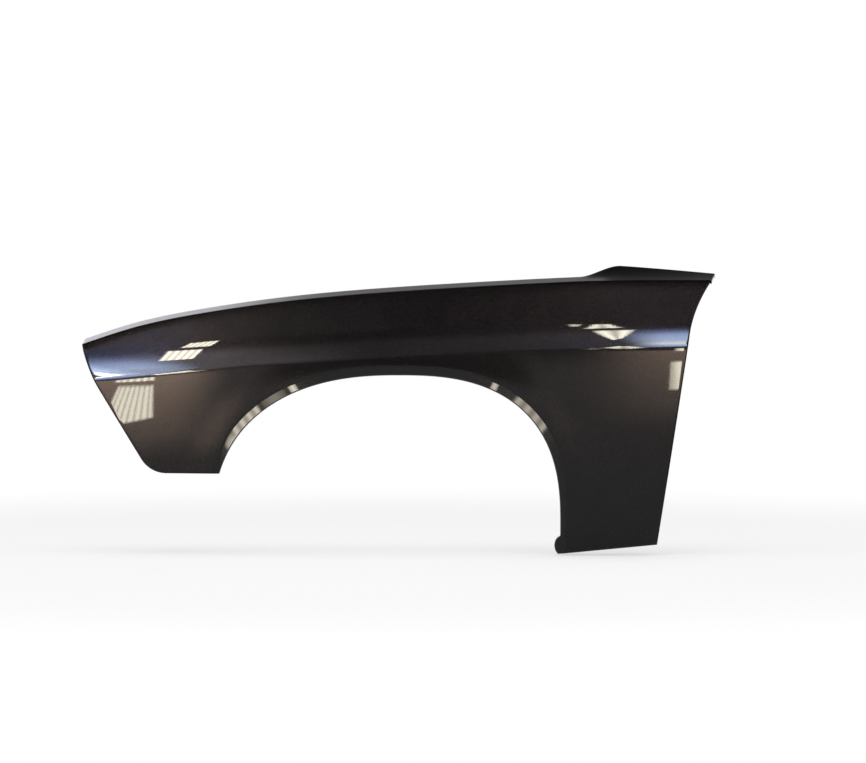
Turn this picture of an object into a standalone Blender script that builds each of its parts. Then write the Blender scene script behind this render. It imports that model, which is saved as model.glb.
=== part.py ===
"""Left front fender of a two-door coupe, pressed in one piece from sheet steel.

X runs rearwards along the car, Y inboard and Z up. The panel is drawn from its nose tip, its
outermost plane and its lowest edge, and is then shifted so that the origin lies on the underside
of the locating land in the middle of the hood-side flange, half way between its two bolt slots.
"""

import math

import bmesh
import bpy
import numpy as np
from mathutils import Matrix, Vector

# What lies in front of, over and behind the wheel opening, and the thickness of the steel
NOSE_TO_ARCH = 0.2992
REAR_LEG = 0.2181
CROWN = 0.2463
SHEET = 0.0008

# Wheel opening: two quarters of a superellipse that share one centre and one rise
ARCH_CENTRE_Z = 0.0648
ARCH_FRONT_REACH = 0.4175
ARCH_REAR_REACH = 0.3632
ARCH_RISE = 0.3389
ARCH_FRONT_SQUARENESS = 2.37
ARCH_REAR_SQUARENESS = 2.61
EAR_REACH = 0.0130
EAR_HEIGHT = 0.0380

ARCH_CENTRE_X = NOSE_TO_ARCH + ARCH_FRONT_REACH
ARCH_TOP_Z = ARCH_CENTRE_Z + ARCH_RISE

# Rear edge: a raked straight run that sweeps back into the cowl
REAR_FOOT_Z = 0.0210
REAR_RAKE = 0.1529
REAR_SWEEP = 0.0395
REAR_SWEEP_START_SHARE = 0.375
REAR_SWEEP_TOP_SHARE = 0.925
REAR_SWEEP_POWER = 2.0
SILL_SLOPE = 0.0940

REAR_FOOT_X = ARCH_CENTRE_X + ARCH_REAR_REACH + REAR_LEG
REAR_SWEEP_START_Z = ARCH_TOP_Z + CROWN * REAR_SWEEP_START_SHARE
REAR_SWEEP_TOP_Z = ARCH_TOP_Z + CROWN * REAR_SWEEP_TOP_SHARE
LENGTH = REAR_FOOT_X + (REAR_SWEEP_TOP_Z - REAR_FOOT_Z) * REAR_RAKE + REAR_SWEEP

# Lines along the side, as shares of the length and of the crown over the wheel opening
SHOULDER_SHARES = (
    (0.00, 0.2600), (0.08, 0.4155), (0.19, 0.5550), (0.33, 0.6735),
    (0.50, 0.7612), (0.68, 0.8232), (0.84, 0.8615), (1.00, 0.8655),
)
CREASE_SHARES = (
    (0.00, -0.0556), (0.12, 0.0077), (0.22, 0.0737), (0.34, 0.1265),
    (0.50, 0.1832), (0.64, 0.2294), (0.78, 0.2584), (0.90, 0.2703), (1.00, 0.2848),
)

# Front edge: a raked straight run, curled upright at the nose and rounded into the foot
NOSE_KNEE_X = 0.0400
NOSE_KNEE_Z = 0.3720
FRONT_RAKE = 0.6144
NOSE_TIP_Z = 0.4733
NOSE_CURL = 0.0227
NOSE_CURL_POWER = 1.8
HOOD_CORNER_SETBACK = 0.0070
FRONT_FOOT_Z = 0.1820
FRONT_CORNER_RADIUS = 0.0660

# Rolled lip round the wheel opening
LIP_WIDTH = 0.0190
LIP_WIDTH_AT_REAR_FOOT = 0.0100
LIP_WIDTH_AT_FRONT_FOOT = 0.0060
LIP_DEPTH = 0.0130
LIP_BREAK = 0.0040
LIP_NARROWS_OVER_REAR = 0.1500
LIP_NARROWS_OVER_FRONT = 0.0850

# Shape of the side
NOSE_SWEEP = 0.0780
NOSE_SWEEP_LENGTH = 0.7600
NOSE_SWEEP_POWER = 2.3
TAIL_TUCK = 0.0060
TAIL_TUCK_LENGTH = 0.4800
UPPER_SIDE_SLOPE = 0.10
SCALLOP_END_SLOPE = 0.80
SCALLOP_MIDDLE_SLOPE = 0.50
SCALLOP_NOSE_HEIGHT = 0.0750
SCALLOP_TAIL_HEIGHT = 0.0550
SCALLOP_TOP_SHARE = 0.75
CREASE_RADIUS = 0.0040
LOWER_SIDE_SLOPE = 0.09
LOWER_SIDE_RADIUS = 1.5000
ARCH_FLARE = 0.0028
ARCH_FLARE_REACH = 0.1000
SILL_TUCK = 0.0030
SILL_TUCK_HEIGHT = 0.0140

# Top strip between the shoulder and the hood gap
SHOULDER_RADIUS = 0.0090
STRIP_WIDTH = 0.0260
STRIP_RISE = 0.0100
COWL_REACH = 0.3090
COWL_SWEEP = 0.0930
COWL_WIDTH = 0.0400
COWL_RISE = 0.0210
COWL_FALL = 0.0185
COWL_SCOOP_SHARE = 0.5
COWL_START_X = LENGTH - COWL_REACH
COWL_END_X = COWL_START_X + COWL_SWEEP

# Flanges folded from the edges of the panel
FOLD_RADIUS = 0.0035
EDGE_FLANGE = 0.0150
CORNER_FLANGE = 0.0050
CORNER_RELIEF = 0.0300
SILL_FLANGE = 0.0240
GUTTER_DEPTH = 0.0360
GUTTER_FOLD_RADIUS = 0.0040
GUTTER_RELIEF = 0.0400
RAIL_FLANGE = 0.0120
RAIL_FLANGE_AT_COWL = 0.0060
RAIL_LAND = 0.0280
LOCATING_LAND_SHARE = 0.460
LAND_SHARES = (0.060, 0.235, LOCATING_LAND_SHARE, 0.665, 0.935)
LAND_HALF_LENGTH = 0.0300
LOCATING_HALF_LENGTH = 0.0500
LAND_RAMP = 0.0300
TAB_SHARES = (0.24, 0.80)
TAB_HEIGHTS = tuple(share * REAR_SWEEP_TOP_Z for share in TAB_SHARES)
TAB_HALF_HEIGHT = 0.0300
TAB_STANDOFF = 0.0300
TAB_REACH = 0.0220

# Holes
BOLT_HOLE = 0.0085
BOLT_SLOT_LENGTH = 0.0140
LOCATING_HOLE_OFFSET = 0.0250
CLIP_HOLE = 0.0065
SILL_HOLE_SHARES = (0.30, 0.74)
ARCH_HOLE_SHARES = (0.12, 0.30, 0.48, 0.66, 0.84)
FRONT_HOLE_SHARES = (0.34, 0.56, 0.78)
CUT_OVERRUN = 0.0060
HOLE_SIDES = 16

# Mesh columns along the length and rows down the section
NOSE_COLUMNS = 12
ARCH_COLUMNS = 32
TAIL_COLUMNS = 12
FRONT_TURN_SHARE = 0.38
REAR_TURN_SHARE = 0.45
LEG_TOP_SHARE = 0.55
COLUMN_SPREAD_SHARE = 0.09
STRIP_ROWS = 3
SHOULDER_ROWS = 3
PLAIN_ROWS = 3
SCALLOP_ROWS = 5
CREASE_ROWS = 1
CREASE_TO_ARCH_ROWS = 4
FRONT_LEG_ROWS = 8
REAR_LEG_ROWS = 9
EAR_ROWS = 6
BREAK_ROWS = 2
FOLD_ROWS = 3
DENSE_POINTS = 600
SETTLING_PASSES = 12

PAINT_COLOUR = (0.022, 0.019, 0.019, 1.0)
PAINT_METALLIC = 0.55
PAINT_ROUGHNESS = 0.28


# Plain tools
def smooth_line(shares, length, base, height):
    """A natural cubic spline through hand-chosen shares, as a function of the distance along."""
    along = np.array([share[0] for share in shares]) * length
    level = base + np.array([share[1] for share in shares]) * height
    step = np.diff(along)
    count = len(along)
    system = np.eye(count)
    right = np.zeros(count)
    for i in range(1, count - 1):
        system[i, i - 1:i + 2] = step[i - 1], 2 * (step[i - 1] + step[i]), step[i]
        right[i] = 6 * ((level[i + 1] - level[i]) / step[i] - (level[i] - level[i - 1]) / step[i - 1])
    bend = np.linalg.solve(system, right)

    def value(distance):
        i = int(np.clip(np.searchsorted(along, distance) - 1, 0, count - 2))
        h = step[i]
        a = (along[i + 1] - distance) / h
        b = (distance - along[i]) / h
        curved = ((a**3 - a) * bend[i] + (b**3 - b) * bend[i + 1]) * h * h / 6
        return a * level[i] + b * level[i + 1] + curved

    return value


def smooth_step(low, high, value):
    """0 below low, 1 above high and a smooth climb between."""
    share = min(max((value - low) / (high - low), 0), 1)
    return share * share * (3 - 2 * share)


def soft_step(low, high, value):
    """A smooth step whose ends are gentle enough for a glossy surface."""
    share = min(max((value - low) / (high - low), 0), 1)
    return share**3 * (share * (6 * share - 15) + 10)


def ramp(radius, value):
    """0 below, value above and rounded between over a radius to either side of nought."""
    if abs(value) >= radius:
        return max(value, 0)
    return (value + radius) ** 2 / (4 * radius)


def mix(a, b, share):
    return a + (b - a) * share


def spaced(points, count):
    """count + 1 points, evenly spaced along a dense line of points."""
    points = np.array(points)
    walked = np.concatenate([[0], np.cumsum(np.linalg.norm(np.diff(points, axis=0), axis=1))])
    wanted = np.linspace(0, walked[-1], count + 1)
    return [np.array([np.interp(w, walked, points[:, k]) for k in range(points.shape[1])]) for w in wanted]


# Lines of the side view
shoulder_z = smooth_line(SHOULDER_SHARES, LENGTH, ARCH_TOP_Z, CROWN)
crease_z = smooth_line(CREASE_SHARES, LENGTH, ARCH_TOP_Z, CROWN)


def nose_curl(z):
    """Share of the way up the curled part of the front edge."""
    return max(min(z, NOSE_TIP_Z) - NOSE_KNEE_Z, 0) / (NOSE_TIP_Z - NOSE_KNEE_Z)


def front_x(z):
    """Front edge at a height."""
    raked = NOSE_KNEE_X + (NOSE_KNEE_Z - min(z, NOSE_TIP_Z)) * FRONT_RAKE
    return raked + NOSE_CURL * nose_curl(z) ** NOSE_CURL_POWER


def front_slope(z):
    if z >= NOSE_TIP_Z:
        return 0
    rate = NOSE_CURL * NOSE_CURL_POWER / (NOSE_TIP_Z - NOSE_KNEE_Z)
    return rate * nose_curl(z) ** (NOSE_CURL_POWER - 1) - FRONT_RAKE


def rear_sweep(z):
    """Share of the way up the swept part of the rear edge."""
    return max(z - REAR_SWEEP_START_Z, 0) / (REAR_SWEEP_TOP_Z - REAR_SWEEP_START_Z)


def rear_x(z):
    """Rear edge at a height."""
    swept = REAR_SWEEP * rear_sweep(z) ** REAR_SWEEP_POWER
    return REAR_FOOT_X + (z - REAR_FOOT_Z) * REAR_RAKE + swept


def rear_slope(z):
    rate = REAR_SWEEP * REAR_SWEEP_POWER / (REAR_SWEEP_TOP_Z - REAR_SWEEP_START_Z)
    return REAR_RAKE + rate * rear_sweep(z) ** (REAR_SWEEP_POWER - 1)


def front_inset_x(z):
    """The front edge, moved in by the fold radius."""
    return front_x(z) + FOLD_RADIUS * math.hypot(1, front_slope(z))


def rear_inset_x(z):
    """The rear edge, moved in by the fold radius."""
    return rear_x(z) - FOLD_RADIUS * math.hypot(1, rear_slope(z))


def sill_z(x):
    """Lower edge of the rear leg."""
    return REAR_FOOT_Z + (x - REAR_FOOT_X) * SILL_SLOPE


def cowl(x):
    """0 along the hood, 1 where the panel spreads inboard to the cowl."""
    return smooth_step(COWL_START_X, COWL_END_X, x)


def arch_radius(dx, dz):
    """Distance from the arch centre to its edge, in the direction of (dx, dz)."""
    reach, power = (
        (ARCH_FRONT_REACH, ARCH_FRONT_SQUARENESS) if dx < 0 else (ARCH_REAR_REACH, ARCH_REAR_SQUARENESS)
    )
    distance = math.hypot(dx, dz)
    across = (abs(dx) / distance / reach) ** power
    up = (abs(dz) / distance / ARCH_RISE) ** power
    return (across + up) ** (-1 / power)


# Shape across the car
def crease_y(x):
    nose = max(1 - x / NOSE_SWEEP_LENGTH, 0) ** NOSE_SWEEP_POWER
    tail = max(1 - (LENGTH - x) / TAIL_TUCK_LENGTH, 0) ** 2
    return NOSE_SWEEP * nose + TAIL_TUCK * tail


def flare(x, z):
    """How far the side swells outboard near the wheel opening."""
    dx = x - ARCH_CENTRE_X
    dz = max(z - ARCH_CENTRE_Z, 0)
    if dx == 0 and dz == 0:
        return 0
    beyond = max(math.hypot(dx, dz) - arch_radius(dx, dz), 0)
    return ARCH_FLARE * (1 - soft_step(0, ARCH_FLARE_REACH, beyond))


def scallop_height(x):
    return mix(SCALLOP_NOSE_HEIGHT, SCALLOP_TAIL_HEIGHT, x / LENGTH)


def side_y(x, z):
    """The side of the panel: scalloped above the crease, gently full below it."""
    above = z - crease_z(x)
    slope = mix(SCALLOP_MIDDLE_SLOPE, SCALLOP_END_SLOPE, (2 * x / LENGTH - 1) ** 2)
    height = scallop_height(x)
    up = max(above, 0)
    faded = 1 - (1 - min(up / height, 1)) ** 3
    hollow = (slope - UPPER_SIDE_SLOPE) * (up - height / 3 * faded)
    full = min(above, 0) ** 2 / (2 * LOWER_SIDE_RADIUS)
    bent = above * LOWER_SIDE_SLOPE + (slope - LOWER_SIDE_SLOPE) * ramp(CREASE_RADIUS, above)
    return crease_y(x) + bent - hollow + full - flare(x, z) + sill_tuck(x, z)


def sill_tuck(x, z):
    """How far the foot of the rear leg turns inboard just above its lower edge."""
    if x < ARCH_CENTRE_X:
        return 0
    return SILL_TUCK * max(1 - (z - sill_z(x)) / SILL_TUCK_HEIGHT, 0) ** 2


def top_section(x):
    """Width and rise of the top strip, and the share of its rise that is scooped up to the cowl."""
    spread = cowl(x)
    back = max(x - COWL_END_X, 0) / (LENGTH - COWL_END_X)
    width = STRIP_WIDTH + COWL_WIDTH * spread
    return width, STRIP_RISE + spread * (COWL_RISE - COWL_FALL * back), COWL_SCOOP_SHARE * spread


def sharp_shoulder(x):
    """(Y, Z) of the sharp shoulder that the radius rounds."""
    z = shoulder_z(x)
    return np.array([side_y(x, z), z])


def hood_gap(x):
    """(Y, Z) of the edge beside the hood."""
    width, rise, _ = top_section(x)
    return sharp_shoulder(x) + np.array([width, rise])


def shoulder_arc(x, share):
    """(Y, Z) on the rounded shoulder, from the side at 0 to the top strip at 1."""
    width, rise, scoop = top_section(x)
    inboard = np.array([width, rise * (1 - scoop)])
    inboard = inboard / np.linalg.norm(inboard)
    side = np.array([UPPER_SIDE_SLOPE, 1])
    side = side / np.linalg.norm(side)
    turn = math.acos(float(side @ inboard))
    start = sharp_shoulder(x) - side * SHOULDER_RADIUS * math.tan(turn / 2)
    inwards = (inboard - side * math.cos(turn)) / math.sin(turn)
    angle = turn * share
    return start + SHOULDER_RADIUS * (side * math.sin(angle) + inwards * (1 - math.cos(angle)))


def strip_point(x, share):
    """(Y, Z) on the top strip, from the hood gap at 0 to the rounded shoulder at 1."""
    width, rise, scoop = top_section(x)
    corner = sharp_shoulder(x)
    first = (shoulder_arc(x, 1)[0] - corner[0]) / width
    along = mix(1, first, share)
    lifted = ((along - first) / (1 - first)) ** 2
    return corner + np.array([width * along, rise * mix(along, lifted, scoop)])


# Edges of the pressed surface, kept a fold radius inside the finished outline
def arch_outline():
    """Dense line of the wheel opening's edge, from the front foot over the top to the rear foot."""
    front_turn = math.asin(
        min(((FRONT_FOOT_Z - ARCH_CENTRE_Z) / ARCH_RISE) ** (ARCH_FRONT_SQUARENESS / 2), 1)
    )
    points = []
    for angle in np.linspace(front_turn, math.pi / 2, DENSE_POINTS):
        across = math.cos(angle) ** (2 / ARCH_FRONT_SQUARENESS) if angle < math.pi / 2 else 0
        up = math.sin(angle) ** (2 / ARCH_FRONT_SQUARENESS)
        points.append((ARCH_CENTRE_X - ARCH_FRONT_REACH * across, ARCH_CENTRE_Z + ARCH_RISE * up))
    for angle in np.linspace(math.pi / 2, 0, DENSE_POINTS)[1:]:
        across = math.cos(angle) ** (2 / ARCH_REAR_SQUARENESS)
        up = math.sin(angle) ** (2 / ARCH_REAR_SQUARENESS)
        points.append((ARCH_CENTRE_X + ARCH_REAR_REACH * across, ARCH_CENTRE_Z + ARCH_RISE * up))
    foot = sill_z(ARCH_CENTRE_X + ARCH_REAR_REACH)
    points += [(points[-1][0], z) for z in np.linspace(ARCH_CENTRE_Z, foot, DENSE_POINTS // 4)[1:]]
    return np.array(points)


def ear(z):
    """How far the rolled lip swells forward into the small ear at the rear foot."""
    foot = sill_z(ARCH_CENTRE_X + ARCH_REAR_REACH)
    share = (z - foot) / EAR_HEIGHT
    return EAR_REACH * math.sqrt(4 * share * (1 - share)) if 0 < share < 1 else 0


def lip_width(x, z):
    """Width of the lip, which narrows down each leg."""
    if x < ARCH_CENTRE_X:
        widening = smooth_step(FRONT_FOOT_Z, FRONT_FOOT_Z + LIP_NARROWS_OVER_FRONT, z)
        return mix(LIP_WIDTH_AT_FRONT_FOOT, LIP_WIDTH, widening)
    widening = smooth_step(ARCH_CENTRE_Z, ARCH_CENTRE_Z + LIP_NARROWS_OVER_REAR, z)
    return mix(LIP_WIDTH_AT_REAR_FOOT, LIP_WIDTH, widening)


def lip_lines(counts):
    """Matching points of the lip's inner edge and of its outer line, with a count for each run:
    up the front leg, over the wheel, down the rear leg and past the ear."""
    dense = arch_outline()
    along = np.gradient(dense, axis=0)
    along /= np.linalg.norm(along, axis=1)[:, None]
    outwards = np.stack([-along[:, 1], along[:, 0]], axis=1)
    edges, lines = [], []
    for point, out in zip(dense, outwards):
        if point[0] < ARCH_CENTRE_X:
            levelled = 1 - smooth_step(FRONT_FOOT_Z, FRONT_FOOT_Z + FRONT_CORNER_RADIUS, point[1])
            out = mix(out, np.array([-1.0, 0.0]), levelled)
        bulge = np.array([ear(point[1]), 0.0]) if point[0] > ARCH_CENTRE_X else np.zeros(2)
        edges.append(point + out * FOLD_RADIUS - bulge)
        lines.append(point + out * (FOLD_RADIUS + lip_width(*point)))
    both = np.hstack([np.array(edges), np.array(lines)])
    foot_z = FRONT_FOOT_Z + FOLD_RADIUS
    first = int(np.argmax(both[:, 1] >= foot_z))
    last = len(both) - int(np.argmax(both[::-1, 1] >= sill_z(both[::-1, 0]) + FOLD_RADIUS))
    both = both[first:last]
    walked = np.concatenate([[0], np.cumsum(np.linalg.norm(np.diff(both[:, 2:], axis=0), axis=1))])
    top = int(np.argmax(both[:, 3]))
    corner_f = int(np.argmin(np.abs(walked - walked[top] * FRONT_TURN_SHARE)))
    corner_r = int(np.argmin(np.abs(walked - mix(walked[top], walked[-1], REAR_TURN_SHARE))))
    ear_end_z = both[-1, 1] + EAR_HEIGHT + EAR_REACH
    ear_top = len(both) - int(np.argmax(both[::-1, 1] > ear_end_z))
    runs = [both[:corner_f + 1], both[corner_f:corner_r + 1], both[corner_r:ear_top], both[ear_top - 1:]]
    sampled = [spaced(run, count) for run, count in zip(runs, counts)]
    points = sampled[0] + sampled[1][1:] + sampled[2][1:] + sampled[3][1:]
    points[0][1] = points[0][3] = foot_z
    points[-1][1] = sill_z(points[-1][0]) + FOLD_RADIUS
    points[-1][3] = sill_z(points[-1][2]) + FOLD_RADIUS
    return [p[:2] for p in points], [p[2:] for p in points]


def front_leg_edge(top_z, count):
    """The front edge from top_z down the rake and round the corner to the foot."""
    foot_z = FRONT_FOOT_Z + FOLD_RADIUS
    rake = math.atan(FRONT_RAKE)
    radius = FRONT_CORNER_RADIUS - FOLD_RADIUS
    centre_z = foot_z + radius
    centre_x = front_inset_x(foot_z) + radius * math.tan((math.pi / 2 - rake) / 2)
    arc = [
        (centre_x - radius * math.cos(a), centre_z - radius * math.sin(a))
        for a in np.linspace(rake, math.pi / 2, DENSE_POINTS // 4)
    ]
    straight = [(front_inset_x(z), z) for z in np.linspace(top_z, arc[0][1], DENSE_POINTS // 4)]
    return spaced(straight[:-1] + arc, count)


def rear_corner():
    """Where the inset rear edge meets the inset sill edge."""
    z = REAR_FOOT_Z
    for _ in range(SETTLING_PASSES):
        x = rear_inset_x(z)
        z = sill_z(x) + FOLD_RADIUS
    return np.array([x, z])


def ends_at(level):
    """Front and rear ends of a line z = level(x), on the inset edges of the panel."""
    front = rear = 0
    for _ in range(SETTLING_PASSES):
        front = front_inset_x(level(front))
        rear = rear_inset_x(level(rear))
    return front, rear


# The pressed surface as rows of points
def row_places():
    """The band and the share of the way down it of each row, from the hood gap past the crease."""
    places = [("strip", 0)]
    for band, count in (
        ("strip", STRIP_ROWS), ("shoulder", SHOULDER_ROWS), ("plain", PLAIN_ROWS),
        ("scallop", SCALLOP_ROWS), ("crease", CREASE_ROWS),
    ):
        places += [(band, (k + 1) / count) for k in range(count)]
    return places


def section_point(band, share, x):
    """(Y, Z) of a row at a place along the panel."""
    if band == "strip":
        return strip_point(x, share)
    if band == "shoulder":
        return shoulder_arc(x, 1 - share)
    top = shoulder_arc(x, 0)[1]
    crease = crease_z(x)
    hollow = min(crease + scallop_height(x), mix(crease, top, SCALLOP_TOP_SHARE))
    if band == "plain":
        z = mix(top, hollow, share)
    elif band == "scallop":
        z = mix(hollow, crease + CREASE_RADIUS, share * (2 - share))
    else:
        z = mix(crease + CREASE_RADIUS, crease - CREASE_RADIUS, share)
    return np.array([side_y(x, z), z])


def upper_rows(shares):
    """Rows from the hood gap down past the crease, each with one point per column."""
    rows = []
    for band, share in row_places():
        front, rear = ends_at(lambda x: section_point(band, share, x)[1])
        if band == "strip":
            front += HOOD_CORNER_SETBACK * (1 - share)
        places = [mix(front, rear, along) for along in shares]
        rows.append([(x, *section_point(band, share, x)) for x in places])
    return rows


def knit(mesh, upper, lower):
    """Quads between two runs of vertices, facing outboard where the runs go rearwards."""
    for i in range(len(upper) - 1):
        mesh.faces.new((upper[i], lower[i], lower[i + 1], upper[i + 1]))


def lip_rows(mesh, edges, lines, outer):
    """The rolled lip, as rows of vertices from its outer line to the edge of the wheel opening."""
    rows = [outer]
    for k in range(1, BREAK_ROWS + 2):
        row = []
        for edge, line in zip(edges, lines):
            width = np.linalg.norm(line - edge)
            bend = LIP_BREAK / width
            across = bend * k / BREAK_ROWS if k <= BREAK_ROWS else 1
            turned = across * across / (2 * bend) if k <= BREAK_ROWS else 1 - bend / 2
            x, z = mix(line, edge, across)
            row.append(mesh.verts.new((x, side_y(*line) + LIP_DEPTH * width / LIP_WIDTH * turned, z)))
        rows.append(row)
    for upper, lower in zip(rows, rows[1:]):
        knit(mesh, upper, lower)
    return rows


def below_crease(x):
    """Height of the row just below the crease's rounding."""
    return crease_z(x) - CREASE_RADIUS


def panel_mesh():
    """The pressed surface before its flanges: a bmesh, and its edges by name as runs of vertices
    that follow each other round the panel."""
    mesh = bmesh.new()
    leg_rows = REAR_LEG_ROWS + EAR_ROWS
    edges, lines = lip_lines((FRONT_LEG_ROWS, ARCH_COLUMNS, REAR_LEG_ROWS, EAR_ROWS))
    arch_line = lines[FRONT_LEG_ROWS:FRONT_LEG_ROWS + ARCH_COLUMNS + 1]
    front_end, rear_end = ends_at(below_crease)
    over_front = mix(arch_line[0][0], front_end, COLUMN_SPREAD_SHARE)
    over_rear = mix(arch_line[-1][0], rear_end, COLUMN_SPREAD_SHARE)
    crease_x = np.concatenate([
        np.linspace(front_end, over_front, NOSE_COLUMNS + 1),
        np.linspace(over_front, over_rear, ARCH_COLUMNS + 1)[1:],
        np.linspace(over_rear, rear_end, TAIL_COLUMNS + 1)[1:],
    ])
    over_arch = crease_x[NOSE_COLUMNS:NOSE_COLUMNS + ARCH_COLUMNS + 1]

    def new_row(points):
        return [mesh.verts.new((x, side_y(x, z), z)) for x, z in points]

    shares = (crease_x - front_end) / (rear_end - front_end)
    rows = [[mesh.verts.new(point) for point in row] for row in upper_rows(shares)]
    front_top = mix(FRONT_FOOT_Z, below_crease(front_end), LEG_TOP_SHARE)
    rear_top = mix(REAR_FOOT_Z, below_crease(rear_end), LEG_TOP_SHARE)
    for share in np.linspace(0, 1, CREASE_TO_ARCH_ROWS + 1)[1:]:
        front_z = mix(below_crease(front_end), front_top, share)
        rear_z = mix(below_crease(rear_end), rear_top, share)
        left = np.array([front_inset_x(front_z), front_z])
        right = np.array([rear_inset_x(rear_z), rear_z])
        middle = [mix(np.array([x, below_crease(x)]), line, share) for x, line in zip(over_arch, arch_line)]
        points = [mix(left, middle[0], i / NOSE_COLUMNS) for i in range(NOSE_COLUMNS)] + middle
        points += [mix(middle[-1], right, i / TAIL_COLUMNS) for i in range(1, TAIL_COLUMNS + 1)]
        rows.append(new_row(points))

    last = rows[-1]
    front_leg = [last[:NOSE_COLUMNS + 1]]
    front_edge = front_leg_edge(front_top, FRONT_LEG_ROWS)
    for k in range(1, FRONT_LEG_ROWS + 1):
        line = lines[FRONT_LEG_ROWS - k]
        edge = front_edge[k]
        front_leg.append(new_row(mix(edge, line, i / NOSE_COLUMNS) for i in range(NOSE_COLUMNS + 1)))
    rear_leg = [last[NOSE_COLUMNS + ARCH_COLUMNS:]]
    foot = rear_corner()
    ear_z = foot[1] + EAR_HEIGHT
    levels = list(np.linspace(rear_top, ear_z, REAR_LEG_ROWS + 1))
    levels += list(np.linspace(ear_z, foot[1], EAR_ROWS + 1)[1:])
    for k in range(1, leg_rows + 1):
        line = lines[FRONT_LEG_ROWS + ARCH_COLUMNS + k]
        end = np.array([rear_inset_x(levels[k]), levels[k]])
        rear_leg.append(new_row(mix(line, end, i / TAIL_COLUMNS) for i in range(TAIL_COLUMNS + 1)))
    for block in (rows, front_leg, rear_leg):
        for upper, lower in zip(block, block[1:]):
            knit(mesh, upper, lower)

    outer = [row[-1] for row in reversed(front_leg)]
    outer += last[NOSE_COLUMNS + 1:NOSE_COLUMNS + ARCH_COLUMNS]
    outer += [row[0] for row in rear_leg]
    lip = lip_rows(mesh, edges, lines, outer)
    sides = {
        "top": list(reversed(rows[0])),
        "front": [row[0] for row in rows] + [row[0] for row in front_leg[1:]],
        "foot": front_leg[-1] + [row[0] for row in lip[1:]],
        "arch": lip[-1],
        "sill": [row[-1] for row in reversed(lip[1:])] + rear_leg[-1],
        "rear": [row[-1] for row in reversed(rear_leg[1:])] + [row[-1] for row in reversed(rows)],
    }
    return mesh, sides


# Flanges
def land_weight(x):
    """How far a place along the top is part of a bolting land, and the centre of that land."""
    centres = [share * LENGTH for share in LAND_SHARES]
    centre = min(centres, key=lambda place: abs(x - place))
    half = LOCATING_HALF_LENGTH if centre == LOCATING_LAND_SHARE * LENGTH else LAND_HALF_LENGTH
    return 1 - smooth_step(half, half + LAND_RAMP, abs(x - centre)), centre


def rail_level(x):
    """Height of the bolting flange, level on each land and following the hood gap between."""
    weight, centre = land_weight(x)
    return mix(hood_gap(x)[1], hood_gap(centre)[1], weight) - GUTTER_DEPTH


def rail_width(x):
    """Width of the bolting flange: wide on the lands and narrow where the gap turns to the cowl."""
    weight, _ = land_weight(x)
    turn = smooth_step(0, COWL_SWEEP, COWL_SWEEP - abs(x - (COWL_START_X + COWL_END_X) / 2))
    return mix(mix(RAIL_FLANGE, RAIL_FLANGE_AT_COWL, turn), RAIL_LAND, weight)


def fold_direction(side, vertex):
    """Which way a flange points: straight inboard, or into the car round the shoulder."""
    if side == "top":
        return Vector((0, 0, -1))
    if side in ("front", "rear"):
        shoulder = shoulder_z(vertex.co.x)
        turned = smooth_step(shoulder - 3 * SHOULDER_RADIUS, shoulder - SHOULDER_RADIUS, vertex.co.z)
        return Vector((0, 1, 0)).lerp(-vertex.normal, turned).normalized()
    return Vector((0, 1, 0))


def flange_width(side, vertex, from_start, to_end):
    """Width of the flange beyond its fold, which narrows towards each corner."""
    def relieved(distance):
        return smooth_step(0, CORNER_RELIEF, distance)

    below_shoulder = relieved(shoulder_z(vertex.co.x) - 2 * SHOULDER_RADIUS - vertex.co.z)
    if side == "front":
        return mix(CORNER_FLANGE, EDGE_FLANGE, below_shoulder)
    if side == "rear":
        return mix(CORNER_FLANGE, EDGE_FLANGE, below_shoulder * relieved(from_start))
    if side == "foot":
        return mix(CORNER_FLANGE, EDGE_FLANGE, relieved(to_end))
    full = SILL_FLANGE if side == "sill" else EDGE_FLANGE
    return mix(CORNER_FLANGE, full, relieved(from_start) * relieved(to_end))


class EdgePoint:
    """One point on the edge of the panel, with the frame that its flange is folded in."""

    def __init__(self, side, vertex, before, after, from_start, to_end):
        self.side = side
        self.vertex = vertex
        self.from_start = from_start
        self.to_end = to_end
        self.inward = fold_direction(side, vertex)
        ways, leans = [], []
        for run in (vertex.co - before.co, after.co - vertex.co):
            ways.append(self.inward.cross(run).normalized())
            leans.append(run.cross(vertex.normal).normalized().dot(self.inward))
        self.way = (ways[0] + ways[1]) / (1 + ways[0].dot(ways[1]))
        self.lean = math.asin(sum(leans) / 2)

    def folded(self, share):
        """A point on the fold, whose reach beyond the panel is the same for any slope."""
        start = math.sin(self.lean)
        angle = mix(self.lean, math.pi / 2, share)
        reach = (math.sin(angle) - start) / (1 - start)
        depth = (math.cos(self.lean) - math.cos(angle)) / (1 - start)
        return self.vertex.co + FOLD_RADIUS * (self.way * reach + self.inward * depth)


def edge_points(sides):
    """The whole edge of the panel as one closed run."""
    points = []
    names = list(sides)
    for position, name in enumerate(names):
        run = sides[name]
        previous = sides[names[position - 1]]
        steps = [(b.co - a.co).length for a, b in zip(run, run[1:])]
        for i, vertex in enumerate(run[:-1]):
            before = run[i - 1] if i else previous[-2]
            points.append(EdgePoint(name, vertex, before, run[i + 1], sum(steps[:i]), sum(steps[i:])))
    return points


def second_fold(mesh, feet, inward, ways, radius, reaches):
    """Rows that turn from a flange's end through a right angle and run on by the given reaches."""
    rows = [feet]
    for k in range(1, FOLD_ROWS + 1):
        angle = math.pi / 2 * k / FOLD_ROWS
        rows.append([
            mesh.verts.new(foot.co + radius * (inward * math.sin(angle) + way * (1 - math.cos(angle))))
            for foot, way in zip(feet, ways)
        ])
    rows.append([mesh.verts.new(foot.co + way * reach) for foot, way, reach in zip(rows[-1], ways, reaches)])
    for inner, outer in zip(rows, rows[1:]):
        knit(mesh, inner, outer)
    return rows


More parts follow.
